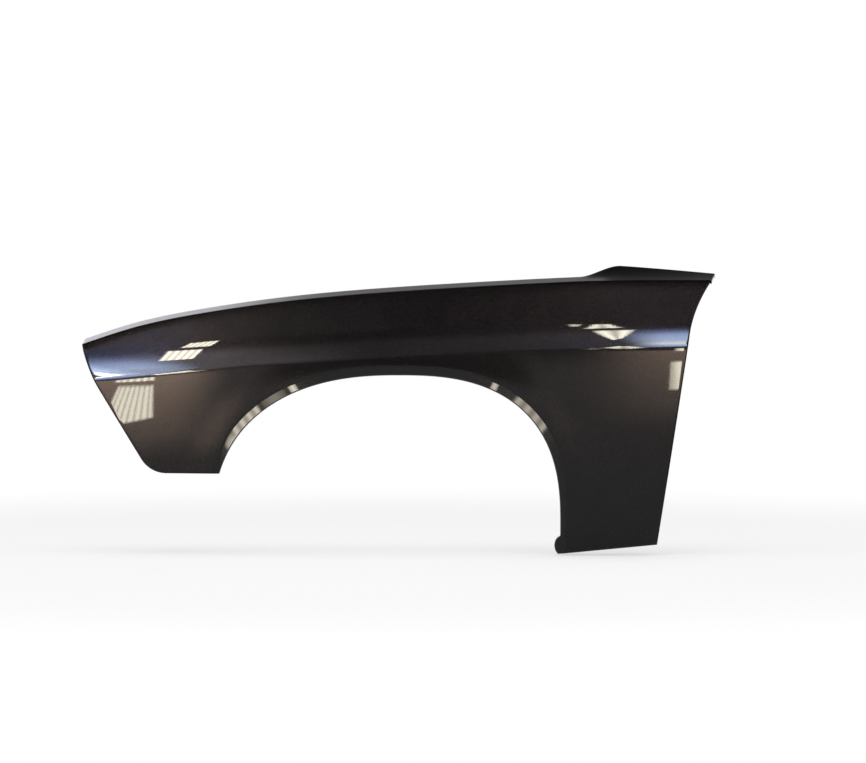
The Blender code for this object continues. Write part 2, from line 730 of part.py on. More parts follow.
def add_flanges(mesh, sides):
    """Fold every edge inwards, then the bolting rail from the hood side and the tabs at the rear.
    Gives back where the holes go: a centre, an axis and a direction along for each."""
    mesh.normal_update()
    points = edge_points(sides)
    rows = [[point.vertex for point in points]]
    for k in range(1, FOLD_ROWS + 1):
        rows.append([mesh.verts.new(point.folded(k / FOLD_ROWS)) for point in points])
    feet = []
    for point, last in zip(points, rows[-1]):
        width = flange_width(point.side, point.vertex, point.from_start, point.to_end)
        if point.side == "top":
            wall = last.co.z - rail_level(point.vertex.co.x) - GUTTER_FOLD_RADIUS
            from_end = min(point.from_start, point.to_end)
            width = mix(CORNER_FLANGE, wall, smooth_step(0, GUTTER_RELIEF, from_end))
        tab = tab_at(point)
        if tab is not None:
            furthest = max(end.co.y for p, end in zip(points, rows[-1]) if tab_at(p) == tab)
            width = furthest + TAB_STANDOFF - GUTTER_FOLD_RADIUS - last.co.y
        feet.append(mesh.verts.new(last.co + point.inward * width))
    rows.append(feet)
    for inner, outer in zip(rows, rows[1:]):
        for i in range(len(inner)):
            mesh.faces.new((inner[i], inner[i - 1], outer[i - 1], outer[i]))

    holes = []
    top = [i for i, p in enumerate(points) if p.side == "top"]
    rail = [i for i in top if min(points[i].from_start, points[i].to_end) > GUTTER_RELIEF]
    second_fold(
        mesh, [feet[i] for i in rail], Vector((0, 0, -1)), [points[i].way for i in rail],
        GUTTER_FOLD_RADIUS, [rail_width(points[i].vertex.co.x) for i in rail],
    )
    for share in LAND_SHARES:
        located = share == LOCATING_LAND_SHARE
        for offset in (-LOCATING_HOLE_OFFSET, LOCATING_HOLE_OFFSET) if located else (0,):
            holes.append((land_point(share * LENGTH + offset), Vector((0, 0, 1)), Vector((1, 0, 0)), "slot"))
    for height in TAB_HEIGHTS:
        tab = [i for i, p in enumerate(points) if tab_at(p) == height]
        ways = [-points[i].way for i in tab]
        end = second_fold(mesh, [feet[i] for i in tab], Vector((0, 1, 0)), ways, GUTTER_FOLD_RADIUS,
                          [TAB_REACH] * len(tab))
        corners = [v.co for row in end[-2:] for v in (row[0], row[-1])]
        centre = sum(corners, Vector()) / len(corners)
        holes.append((centre, Vector((0, 1, 0)), Vector((0, 0, 1)), "slot"))

    def place_holes(side, shares, kind):
        chosen = [i for i, p in enumerate(points) if p.side == side]
        length = points[chosen[0]].to_end
        for share in shares:
            i = min(chosen, key=lambda n: abs(points[n].from_start - share * length))
            centre = (rows[-2][i].co + feet[i].co + rows[-2][i - 1].co + feet[i - 1].co) / 4
            along = (feet[i].co - feet[i - 1].co).normalized()
            holes.append((centre, (points[i].way + points[i - 1].way).normalized(), along, kind))

    place_holes("sill", SILL_HOLE_SHARES, "slot")
    place_holes("arch", ARCH_HOLE_SHARES, "clip")
    place_holes("front", FRONT_HOLE_SHARES, "clip")
    return holes


def tab_at(point):
    """The height of the rear tab that an edge point belongs to, or None."""
    if point.side != "rear":
        return None
    near = [height for height in TAB_HEIGHTS if abs(point.vertex.co.z - height) < TAB_HALF_HEIGHT]
    return near[0] if near else None


def land_point(x):
    """Middle of the bolting flange at a place on a land, on its upper face."""
    across = hood_gap(x)[0] + FOLD_RADIUS + GUTTER_FOLD_RADIUS + RAIL_LAND / 2
    return Vector((x, across, rail_level(x)))


# Objects
def new_object(name, mesh, collection):
    data = bpy.data.meshes.new(name)
    mesh.to_mesh(data)
    mesh.free()
    item = bpy.data.objects.new(name, data)
    collection.objects.link(item)
    return item


def hole_cutter(name, hole, collection):
    """A round or slotted punch, run through the sheet at a hole's place."""
    centre, axis, along, kind = hole
    width = BOLT_HOLE if kind == "slot" else CLIP_HOLE
    stretch = (BOLT_SLOT_LENGTH - BOLT_HOLE) / 2 if kind == "slot" else 0
    mesh = bmesh.new()
    turned = Matrix.Rotation(math.pi / HOLE_SIDES, 4, "Z")
    bmesh.ops.create_cone(
        mesh, cap_ends=True, segments=HOLE_SIDES, radius1=width / 2, radius2=width / 2,
        depth=2 * CUT_OVERRUN, matrix=turned,
    )
    for vertex in mesh.verts:
        vertex.co.x += math.copysign(stretch, vertex.co.x)
    along = (along - axis * along.dot(axis)).normalized()
    across = axis.cross(along)
    mesh.transform(Matrix((along, across, axis)).transposed().to_4x4())
    mesh.transform(Matrix.Translation(centre))
    cutter = new_object(name, mesh, collection)
    cutter.hide_render = True
    cutter.display_type = "WIRE"
    return cutter


def paint():
    material = bpy.data.materials.new("paint")
    material.use_nodes = True
    shader = material.node_tree.nodes["Principled BSDF"]
    shader.inputs["Base Color"].default_value = PAINT_COLOUR
    shader.inputs["Metallic"].default_value = PAINT_METALLIC
    shader.inputs["Roughness"].default_value = PAINT_ROUGHNESS
    return material


def new_collection(name):
    collection = bpy.data.collections.new(name)
    bpy.context.scene.collection.children.link(collection)
    return collection


def main():
    for item in list(bpy.data.objects):
        bpy.data.objects.remove(item, do_unlink=True)
    parts = new_collection("car_fender")
    cutters = new_collection("fender_cutters")

    mesh, sides = panel_mesh()
    holes = add_flanges(mesh, sides)
    origin = land_point(LOCATING_LAND_SHARE * LENGTH) - Vector((0, 0, SHEET))
    mesh.transform(Matrix.Translation(-origin))
    panel = new_object("fender_panel", mesh, parts)
    panel.data.materials.append(paint())
    panel.data.shade_smooth()

    wall = panel.modifiers.new("sheet", "SOLIDIFY")
    wall.thickness = SHEET
    wall.offset = -1
    wall.use_even_offset = True
    wall.use_quality_normals = True
    for number, (centre, axis, along, kind) in enumerate(holes, 1):
        hole_cutter(f"{kind}_{number:02d}", (centre - origin, axis, along, kind), cutters)
    punch = panel.modifiers.new("holes", "BOOLEAN")
    punch.operation = "DIFFERENCE"
    punch.solver = "EXACT"
    punch.operand_type = "COLLECTION"
    punch.collection = cutters


main()
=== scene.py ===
"""Left front fender of a two-door coupe: the pressed panel in its metallic paint, in a plain studio."""

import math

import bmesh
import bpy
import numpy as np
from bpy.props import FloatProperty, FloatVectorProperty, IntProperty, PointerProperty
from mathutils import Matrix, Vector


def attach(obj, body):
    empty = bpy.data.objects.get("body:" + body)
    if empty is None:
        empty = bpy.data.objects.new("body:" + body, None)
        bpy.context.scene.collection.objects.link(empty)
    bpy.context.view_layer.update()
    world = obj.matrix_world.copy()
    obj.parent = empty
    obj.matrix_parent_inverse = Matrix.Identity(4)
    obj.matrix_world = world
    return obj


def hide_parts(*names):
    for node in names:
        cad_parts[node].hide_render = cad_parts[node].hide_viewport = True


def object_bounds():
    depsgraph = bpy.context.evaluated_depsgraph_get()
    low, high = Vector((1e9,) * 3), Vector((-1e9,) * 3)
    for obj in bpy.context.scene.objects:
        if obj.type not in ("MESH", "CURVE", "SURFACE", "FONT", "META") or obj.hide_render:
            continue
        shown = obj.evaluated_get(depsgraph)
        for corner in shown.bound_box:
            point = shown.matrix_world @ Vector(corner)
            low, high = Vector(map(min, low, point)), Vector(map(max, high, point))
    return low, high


bl_info = {
    "name": "Pressed Car Fender",
    "version": (1, 0, 0),
    "blender": (4, 5, 0),
    "location": "3D View > Sidebar > Fender",
    "description": "Presses, punches and paints a front fender and sets it in a plain studio",
    "category": "Add Mesh",
}

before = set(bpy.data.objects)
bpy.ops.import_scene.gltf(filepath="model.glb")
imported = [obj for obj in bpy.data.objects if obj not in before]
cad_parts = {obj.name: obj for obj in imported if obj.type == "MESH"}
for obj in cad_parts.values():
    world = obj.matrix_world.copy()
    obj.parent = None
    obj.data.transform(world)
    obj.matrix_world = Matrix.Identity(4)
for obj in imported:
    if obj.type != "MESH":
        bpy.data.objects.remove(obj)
CAD_LOW, CAD_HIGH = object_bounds()

# The drawing frame: X from the nose tip rearwards, Y from the outermost plane inboard, Z up from the
# lowest edge. The finished mesh is shifted so that the locating land's underside is at the origin.

# Side view: what lies in front of, over and behind the wheel opening
NOSE_TO_ARCH = 0.2992
REAR_LEG = 0.2181
CROWN = 0.2463

# Wheel opening: two quarters of a superellipse that share one centre and one rise
ARCH_CENTRE_Z = 0.0648
ARCH_FRONT_REACH = 0.4175
ARCH_REAR_REACH = 0.3632
ARCH_RISE = 0.3389
ARCH_FRONT_SQUARENESS = 2.37
ARCH_REAR_SQUARENESS = 2.61
EAR_REACH = 0.0130
EAR_HEIGHT = 0.0380

ARCH_CENTRE_X = NOSE_TO_ARCH + ARCH_FRONT_REACH
ARCH_TOP_Z = ARCH_CENTRE_Z + ARCH_RISE

# Rear edge: a raked straight run that sweeps back into the cowl
REAR_FOOT_Z = 0.0210
REAR_RAKE = 0.1529
REAR_SWEEP = 0.0395
REAR_SWEEP_START_SHARE = 0.375
REAR_SWEEP_TOP_SHARE = 0.925
REAR_SWEEP_POWER = 2.0
SILL_SLOPE = 0.0940

REAR_FOOT_X = ARCH_CENTRE_X + ARCH_REAR_REACH + REAR_LEG
REAR_SWEEP_START_Z = ARCH_TOP_Z + CROWN * REAR_SWEEP_START_SHARE
REAR_SWEEP_TOP_Z = ARCH_TOP_Z + CROWN * REAR_SWEEP_TOP_SHARE
LENGTH = REAR_FOOT_X + (REAR_SWEEP_TOP_Z - REAR_FOOT_Z) * REAR_RAKE + REAR_SWEEP

# Lines along the side, as shares of the length and of the crown over the wheel opening
SHOULDER_SHARES = (
    (0.00, 0.2600), (0.08, 0.4155), (0.19, 0.5550), (0.33, 0.6735),
    (0.50, 0.7612), (0.68, 0.8232), (0.84, 0.8615), (1.00, 0.8655),
)
CREASE_SHARES = (
    (0.00, -0.0556), (0.12, 0.0077), (0.22, 0.0737), (0.34, 0.1265),
    (0.50, 0.1832), (0.64, 0.2294), (0.78, 0.2584), (0.90, 0.2703), (1.00, 0.2848),
)

# Front edge: a raked straight run, curled upright at the nose and rounded into the foot
NOSE_KNEE_X = 0.0400
NOSE_KNEE_Z = 0.3720
FRONT_RAKE = 0.6144
NOSE_TIP_Z = 0.4733
NOSE_CURL = 0.0227
NOSE_CURL_POWER = 1.8
HOOD_CORNER_SETBACK = 0.0070
FRONT_FOOT_Z = 0.1820
FRONT_CORNER_RADIUS = 0.0660

# Shape of the side
NOSE_SWEEP = 0.0780
NOSE_SWEEP_LENGTH = 0.7600
NOSE_SWEEP_POWER = 2.3
TAIL_TUCK = 0.0060
TAIL_TUCK_LENGTH = 0.4800
UPPER_SIDE_SLOPE = 0.10
SCALLOP_END_SLOPE = 0.80
SCALLOP_MIDDLE_SLOPE = 0.50
SCALLOP_NOSE_HEIGHT = 0.0750
SCALLOP_TAIL_HEIGHT = 0.0550
SCALLOP_TOP_SHARE = 0.75
LOWER_SIDE_SLOPE = 0.09
LOWER_SIDE_RADIUS = 1.5000
ARCH_FLARE = 0.0027
ARCH_FLARE_REACH = 0.1000
SILL_TUCK = 0.0030
SILL_TUCK_HEIGHT = 0.0140

# Top strip between the shoulder and the hood gap
STRIP_WIDTH = 0.0260
STRIP_RISE = 0.0100
COWL_REACH = 0.3090
COWL_SWEEP = 0.0930
COWL_WIDTH = 0.0400
COWL_RISE = 0.0205
COWL_FALL = 0.0185
COWL_SCOOP_SHARE = 0.5
COWL_START_X = LENGTH - COWL_REACH
COWL_END_X = COWL_START_X + COWL_SWEEP

# Rolled lip round the wheel opening
LIP_AT_REAR_FOOT_SHARE = 0.53
LIP_AT_FRONT_FOOT_SHARE = 0.32
LIP_BREAK = 0.0040
LIP_NARROWS_OVER_REAR = 0.1500
LIP_NARROWS_OVER_FRONT = 0.0850

# Flanges folded from the edges of the panel
EDGE_FLANGE = 0.0150
CORNER_FLANGE = 0.0050
CORNER_RELIEF = 0.0300
SILL_FLANGE = 0.0240
GUTTER_DEPTH = 0.0360
GUTTER_FOLD_RADIUS = 0.0040
GUTTER_RELIEF = 0.0400
RAIL_FLANGE = 0.0120
RAIL_FLANGE_AT_COWL = 0.0060
RAIL_LAND = 0.0280
RAIL_FRONT_X = 0.0690
LOCATING_LAND_SHARE = 0.460
LAND_SHARES = (0.060, 0.235, LOCATING_LAND_SHARE, 0.665, 0.935)
LAND_HALF_LENGTH = 0.0300
LOCATING_HALF_LENGTH = 0.0500
LAND_RAMP = 0.0300
TAB_SHARES = (0.24, 0.80)
TAB_HEIGHTS = tuple(share * REAR_SWEEP_TOP_Z for share in TAB_SHARES)
TAB_HALF_HEIGHT = 0.0300
TAB_STANDOFF = 0.0300
TAB_REACH = 0.0220

# Places of the holes
LOCATING_HOLE_OFFSET = 0.0250
SILL_HOLE_SHARES = (0.30, 0.74)
ARCH_HOLE_SHARES = (0.12, 0.30, 0.48, 0.66, 0.84)
FRONT_HOLE_SHARES = (0.34, 0.56, 0.78)
PUNCH_DEPTH = 0.0120
PUNCH_SIDES = 38

# Columns along the length and rows down the section, for each unit of fineness
NOSE_COLUMNS = 15
ARCH_COLUMNS = 38
TAIL_COLUMNS = 14
FRONT_TURN_SHARE = 0.38
REAR_TURN_SHARE = 0.45
LEG_TOP_SHARE = 0.55
COLUMN_SPREAD_SHARE = 0.09
STRIP_ROWS = 2
SHOULDER_ROWS = 2
PLAIN_ROWS = 3
SCALLOP_ROWS = 6
CREASE_ROWS = 1
CREASE_TO_ARCH_ROWS = 6
FRONT_LEG_ROWS = 9
REAR_LEG_ROWS = 11
EAR_ROWS = 3
BREAK_ROWS = 1
LIP_FACE_ROWS = 1
FOLD_ROWS = 2
DENSE_POINTS = 1200
CORNER_PASSES = 8
END_PASSES = 12
SHARP_DEGREES = 35


# Sizes and colours that a user would change
class FenderSizes(bpy.types.PropertyGroup):
    sheet: FloatProperty(name="Sheet", description="Thickness of the steel", default=0.0008,
                         min=0.0003, unit="LENGTH", precision=4)
    fold_radius: FloatProperty(name="Fold Radius", description="Outer radius of the folded edges",
                               default=0.0035, min=0.001, unit="LENGTH", precision=4)
    shoulder_radius: FloatProperty(name="Shoulder Radius", description="Rounding of the upper edge",
                                   default=0.0055, min=0.001, unit="LENGTH", precision=4)
    crease_radius: FloatProperty(name="Crease Half Width", default=0.004, min=0.0005, unit="LENGTH",
                                 description="How far the side crease is rounded above and below")
    lip_width: FloatProperty(name="Lip Width", description="Width of the lip round the wheel opening",
                             default=0.019, min=0.005, unit="LENGTH", precision=4)
    lip_depth: FloatProperty(name="Lip Depth", description="How far the lip rolls inboard",
                             default=0.013, min=0.0, unit="LENGTH", precision=4)
    bolt_hole: FloatProperty(name="Bolt Slot Width", description="Width of the bolt slots",
                             default=0.0085, min=0.002, unit="LENGTH", precision=4)
    bolt_slot: FloatProperty(name="Bolt Slot Length", description="Length of the bolt slots",
                             default=0.014, min=0.002, unit="LENGTH", precision=4)
    clip_hole: FloatProperty(name="Clip Hole", description="Width of the round clip holes",
                             default=0.0065, min=0.002, unit="LENGTH", precision=4)
    fineness: IntProperty(name="Fineness", description="Multiplies the mesh's rows and columns",
                          default=4, min=1, max=5)


class FenderPaint(bpy.types.PropertyGroup):
    colour: FloatVectorProperty(name="Base Colour", description="Ground colour of the paint",
                                subtype="COLOR", default=(0.0030, 0.0024, 0.0023), min=0, max=1)
    flake: FloatVectorProperty(name="Flake Colour", description="Colour of the metal flakes",
                               subtype="COLOR", default=(0.0100, 0.0077, 0.0077), min=0, max=1)
    flake_size: FloatProperty(name="Flake Size", description="Spacing of the flake clusters",
                              default=0.0011, min=0.0002, unit="LENGTH", precision=4)
    peel_size: FloatProperty(name="Peel Size", description="Spacing of the waves in the clear coat",
                             default=0.0045, min=0.001, unit="LENGTH", precision=4)
    peel_height: FloatProperty(name="Peel Height", description="Height of the waves in the clear coat",
                               default=0.000006, min=0, unit="LENGTH", precision=6)
    inside: FloatVectorProperty(name="Inside Colour", description="Dry coat on the hidden side",
                                subtype="COLOR", default=(0.062, 0.060, 0.062), min=0, max=1)


class FenderStudio(bpy.types.PropertyGroup):
    floor: FloatVectorProperty(name="Floor Colour", description="Colour of the floor",
                               subtype="COLOR", default=(0.95, 0.95, 0.95), min=0, max=1)
    fill: FloatProperty(name="Fill", description="Even light from all round", default=0.55, min=0)
    key: FloatProperty(name="Key Power", description="Power of the light overhead", default=75.0, min=0)
    # The softbox strength scales painted reflections, which light nothing.
    softbox: FloatProperty(name="Softbox Strength", description="Scales the cool softboxes",
                           default=38.0, min=0)
    # The card strength scales painted reflections, which light nothing.
    card: FloatProperty(name="Card Strength", description="Scales the warm cards", default=8.5, min=0)
    elevation: FloatProperty(name="Camera Elevation", description="Height angle of the camera",
                             subtype="ANGLE", default=math.radians(3.0))
    distance: FloatProperty(name="Camera Distance", description="From the camera to the panel",
                            default=20.0, min=1.0, unit="LENGTH")


# Plain tools
def smooth_line(shares):
    """A natural cubic spline through given shares of the length and of the crown."""
    along = np.array([share[0] for share in shares]) * LENGTH
    level = ARCH_TOP_Z + np.array([share[1] for share in shares]) * CROWN
    step = np.diff(along)
    count = len(along)
    system = np.eye(count)
    right = np.zeros(count)
    for i in range(1, count - 1):
        system[i, i - 1:i + 2] = step[i - 1], 2 * (step[i - 1] + step[i]), step[i]
        right[i] = 6 * ((level[i + 1] - level[i]) / step[i] - (level[i] - level[i - 1]) / step[i - 1])
    bend = np.linalg.solve(system, right)

    def value(distance):
        i = min(max(int(np.searchsorted(along, distance)) - 1, 0), count - 2)
        h = step[i]
        a = (along[i + 1] - distance) / h
        b = (distance - along[i]) / h
        curved = ((a**3 - a) * bend[i] + (b**3 - b) * bend[i + 1]) * h * h / 6
        return a * level[i] + b * level[i + 1] + curved

    return value


def smooth_step(low, high, value):
    """0 below low, 1 above high and a smooth climb between."""
    share = min(max((value - low) / (high - low), 0), 1)
    return share * share * (3 - 2 * share)


def soft_step(low, high, value):
    """A smooth step whose ends are gentle enough for a glossy surface."""
    share = min(max((value - low) / (high - low), 0), 1)
    return share**3 * (share * (6 * share - 15) + 10)


def ramp(radius, value):
    """0 below, value above and rounded between over a radius to either side of nought."""
    if abs(value) >= radius:
        return max(value, 0)
    return (value + radius) ** 2 / (4 * radius)


def mix(a, b, share):
    return a + (b - a) * share


def spaced(points, count):
    """count + 1 points, evenly spaced along a dense line of points."""
    points = np.array(points)
    walked = np.concatenate([[0], np.cumsum(np.linalg.norm(np.diff(points, axis=0), axis=1))])
    wanted = np.linspace(0, walked[-1], count + 1)
    return [np.array([np.interp(w, walked, points[:, k]) for k in range(points.shape[1])]) for w in wanted]


# Lines of the side view
shoulder_z = smooth_line(SHOULDER_SHARES)
crease_z = smooth_line(CREASE_SHARES)


def front_x(z):
    """Front edge at a height."""
    curl = max(min(z, NOSE_TIP_Z) - NOSE_KNEE_Z, 0) / (NOSE_TIP_Z - NOSE_KNEE_Z)
    raked = NOSE_KNEE_X + (NOSE_KNEE_Z - min(z, NOSE_TIP_Z)) * FRONT_RAKE
    return raked + NOSE_CURL * curl**NOSE_CURL_POWER


def front_slope(z):
    curl = max(z - NOSE_KNEE_Z, 0) / (NOSE_TIP_Z - NOSE_KNEE_Z)
    lean = NOSE_CURL * NOSE_CURL_POWER / (NOSE_TIP_Z - NOSE_KNEE_Z) * curl ** (NOSE_CURL_POWER - 1)
    return lean - FRONT_RAKE if z < NOSE_TIP_Z else 0


def rear_x(z):
    """Rear edge at a height."""
    sweep = max(z - REAR_SWEEP_START_Z, 0) / (REAR_SWEEP_TOP_Z - REAR_SWEEP_START_Z)
    return REAR_FOOT_X + (z - REAR_FOOT_Z) * REAR_RAKE + REAR_SWEEP * sweep**REAR_SWEEP_POWER


def rear_slope(z):
    sweep = max(z - REAR_SWEEP_START_Z, 0) / (REAR_SWEEP_TOP_Z - REAR_SWEEP_START_Z)
    rate = REAR_SWEEP * REAR_SWEEP_POWER / (REAR_SWEEP_TOP_Z - REAR_SWEEP_START_Z)
    return REAR_RAKE + rate * sweep ** (REAR_SWEEP_POWER - 1)


def sill_z(x):
    """Lower edge of the rear leg."""
    return REAR_FOOT_Z + (x - REAR_FOOT_X) * SILL_SLOPE


def cowl(x):
    """0 along the hood, 1 where the panel spreads inboard to the cowl."""
    return smooth_step(COWL_START_X, COWL_END_X, x)


def arch_radius(dx, dz):
    """Distance from the arch centre to its edge, in the direction of (dx, dz)."""
    reach, power = (
        (ARCH_FRONT_REACH, ARCH_FRONT_SQUARENESS) if dx < 0 else (ARCH_REAR_REACH, ARCH_REAR_SQUARENESS)
    )
    distance = math.hypot(dx, dz)
    across = (abs(dx) / distance / reach) ** power
    up = (abs(dz) / distance / ARCH_RISE) ** power
    return (across + up) ** (-1 / power)


def crease_y(x):
    """How far the crease lies inboard: swept back at the nose and tucked in a little at the door."""
    nose = max(1 - x / NOSE_SWEEP_LENGTH, 0) ** NOSE_SWEEP_POWER
    tail = max(1 - (LENGTH - x) / TAIL_TUCK_LENGTH, 0) ** 2
    return NOSE_SWEEP * nose + TAIL_TUCK * tail


def flare(x, z):
    """How far the side swells outboard near the wheel opening."""
    dx = x - ARCH_CENTRE_X
    dz = max(z - ARCH_CENTRE_Z, 0)
    if dx == 0 and dz == 0:
        return 0
    beyond = max(math.hypot(dx, dz) - arch_radius(dx, dz), 0)
    return ARCH_FLARE * (1 - soft_step(0, ARCH_FLARE_REACH, beyond))


def scallop_height(x):
    return mix(SCALLOP_NOSE_HEIGHT, SCALLOP_TAIL_HEIGHT, x / LENGTH)


def sill_tuck(x, z):
    """How far the foot of the rear leg turns inboard just above its lower edge."""
    if x < ARCH_CENTRE_X:
        return 0
    return SILL_TUCK * max(1 - (z - sill_z(x)) / SILL_TUCK_HEIGHT, 0) ** 2


def top_section(x):
    """Width and rise of the top strip, and the share of its rise that is scooped up to the cowl."""
    spread = cowl(x)
    back = max(x - COWL_END_X, 0) / (LENGTH - COWL_END_X)
    width = STRIP_WIDTH + COWL_WIDTH * spread
    return width, STRIP_RISE + spread * (COWL_RISE - COWL_FALL * back), COWL_SCOOP_SHARE * spread


def ear(z):
    """How far the rolled lip swells forward into the small ear at the rear foot."""
    foot = sill_z(ARCH_CENTRE_X + ARCH_REAR_REACH)
    share = (z - foot) / EAR_HEIGHT
    return EAR_REACH * math.sqrt(4 * share * (1 - share)) if 0 < share < 1 else 0


def land_weight(x):
    """How far a place along the top is part of a bolting land, and the centre of that land."""
    centres = [share * LENGTH for share in LAND_SHARES]
    centre = min(centres, key=lambda place: abs(x - place))
    half = LOCATING_HALF_LENGTH if centre == LOCATING_LAND_SHARE * LENGTH else LAND_HALF_LENGTH
    return 1 - smooth_step(half, half + LAND_RAMP, abs(x - centre)), centre


def rail_width(x):
    """Width of the bolting flange: wide on the lands and narrow where the gap turns to the cowl."""
    weight, _ = land_weight(x)
    turn = smooth_step(0, COWL_SWEEP, COWL_SWEEP - abs(x - (COWL_START_X + COWL_END_X) / 2))
    return mix(mix(RAIL_FLANGE, RAIL_FLANGE_AT_COWL, turn), RAIL_LAND, weight)


def arch_outline():
    """Dense line of the wheel opening's edge, from the front foot over the top to the rear foot."""
    front_turn = math.asin(
        min(((FRONT_FOOT_Z - ARCH_CENTRE_Z) / ARCH_RISE) ** (ARCH_FRONT_SQUARENESS / 2), 1)
    )
    points = []
    for angle in np.linspace(front_turn, math.pi / 2, DENSE_POINTS):
        across = math.cos(angle) ** (2 / ARCH_FRONT_SQUARENESS) if angle < math.pi / 2 else 0
        up = math.sin(angle) ** (2 / ARCH_FRONT_SQUARENESS)
        points.append((ARCH_CENTRE_X - ARCH_FRONT_REACH * across, ARCH_CENTRE_Z + ARCH_RISE * up))
    for angle in np.linspace(math.pi / 2, 0, DENSE_POINTS)[1:]:
        across = math.cos(angle) ** (2 / ARCH_REAR_SQUARENESS)
        up = math.sin(angle) ** (2 / ARCH_REAR_SQUARENESS)
        points.append((ARCH_CENTRE_X + ARCH_REAR_REACH * across, ARCH_CENTRE_Z + ARCH_RISE * up))
    foot = sill_z(ARCH_CENTRE_X + ARCH_REAR_REACH)
    points += [(points[-1][0], z) for z in np.linspace(ARCH_CENTRE_Z, foot, DENSE_POINTS // 4)[1:]]
    return np.array(points)


def knit(mesh, upper, lower):
    """Quads between two runs of vertices, facing outboard where the runs go rearwards."""
    for i in range(len(upper) - 1):
        mesh.faces.new((upper[i], lower[i], lower[i + 1], upper[i + 1]))


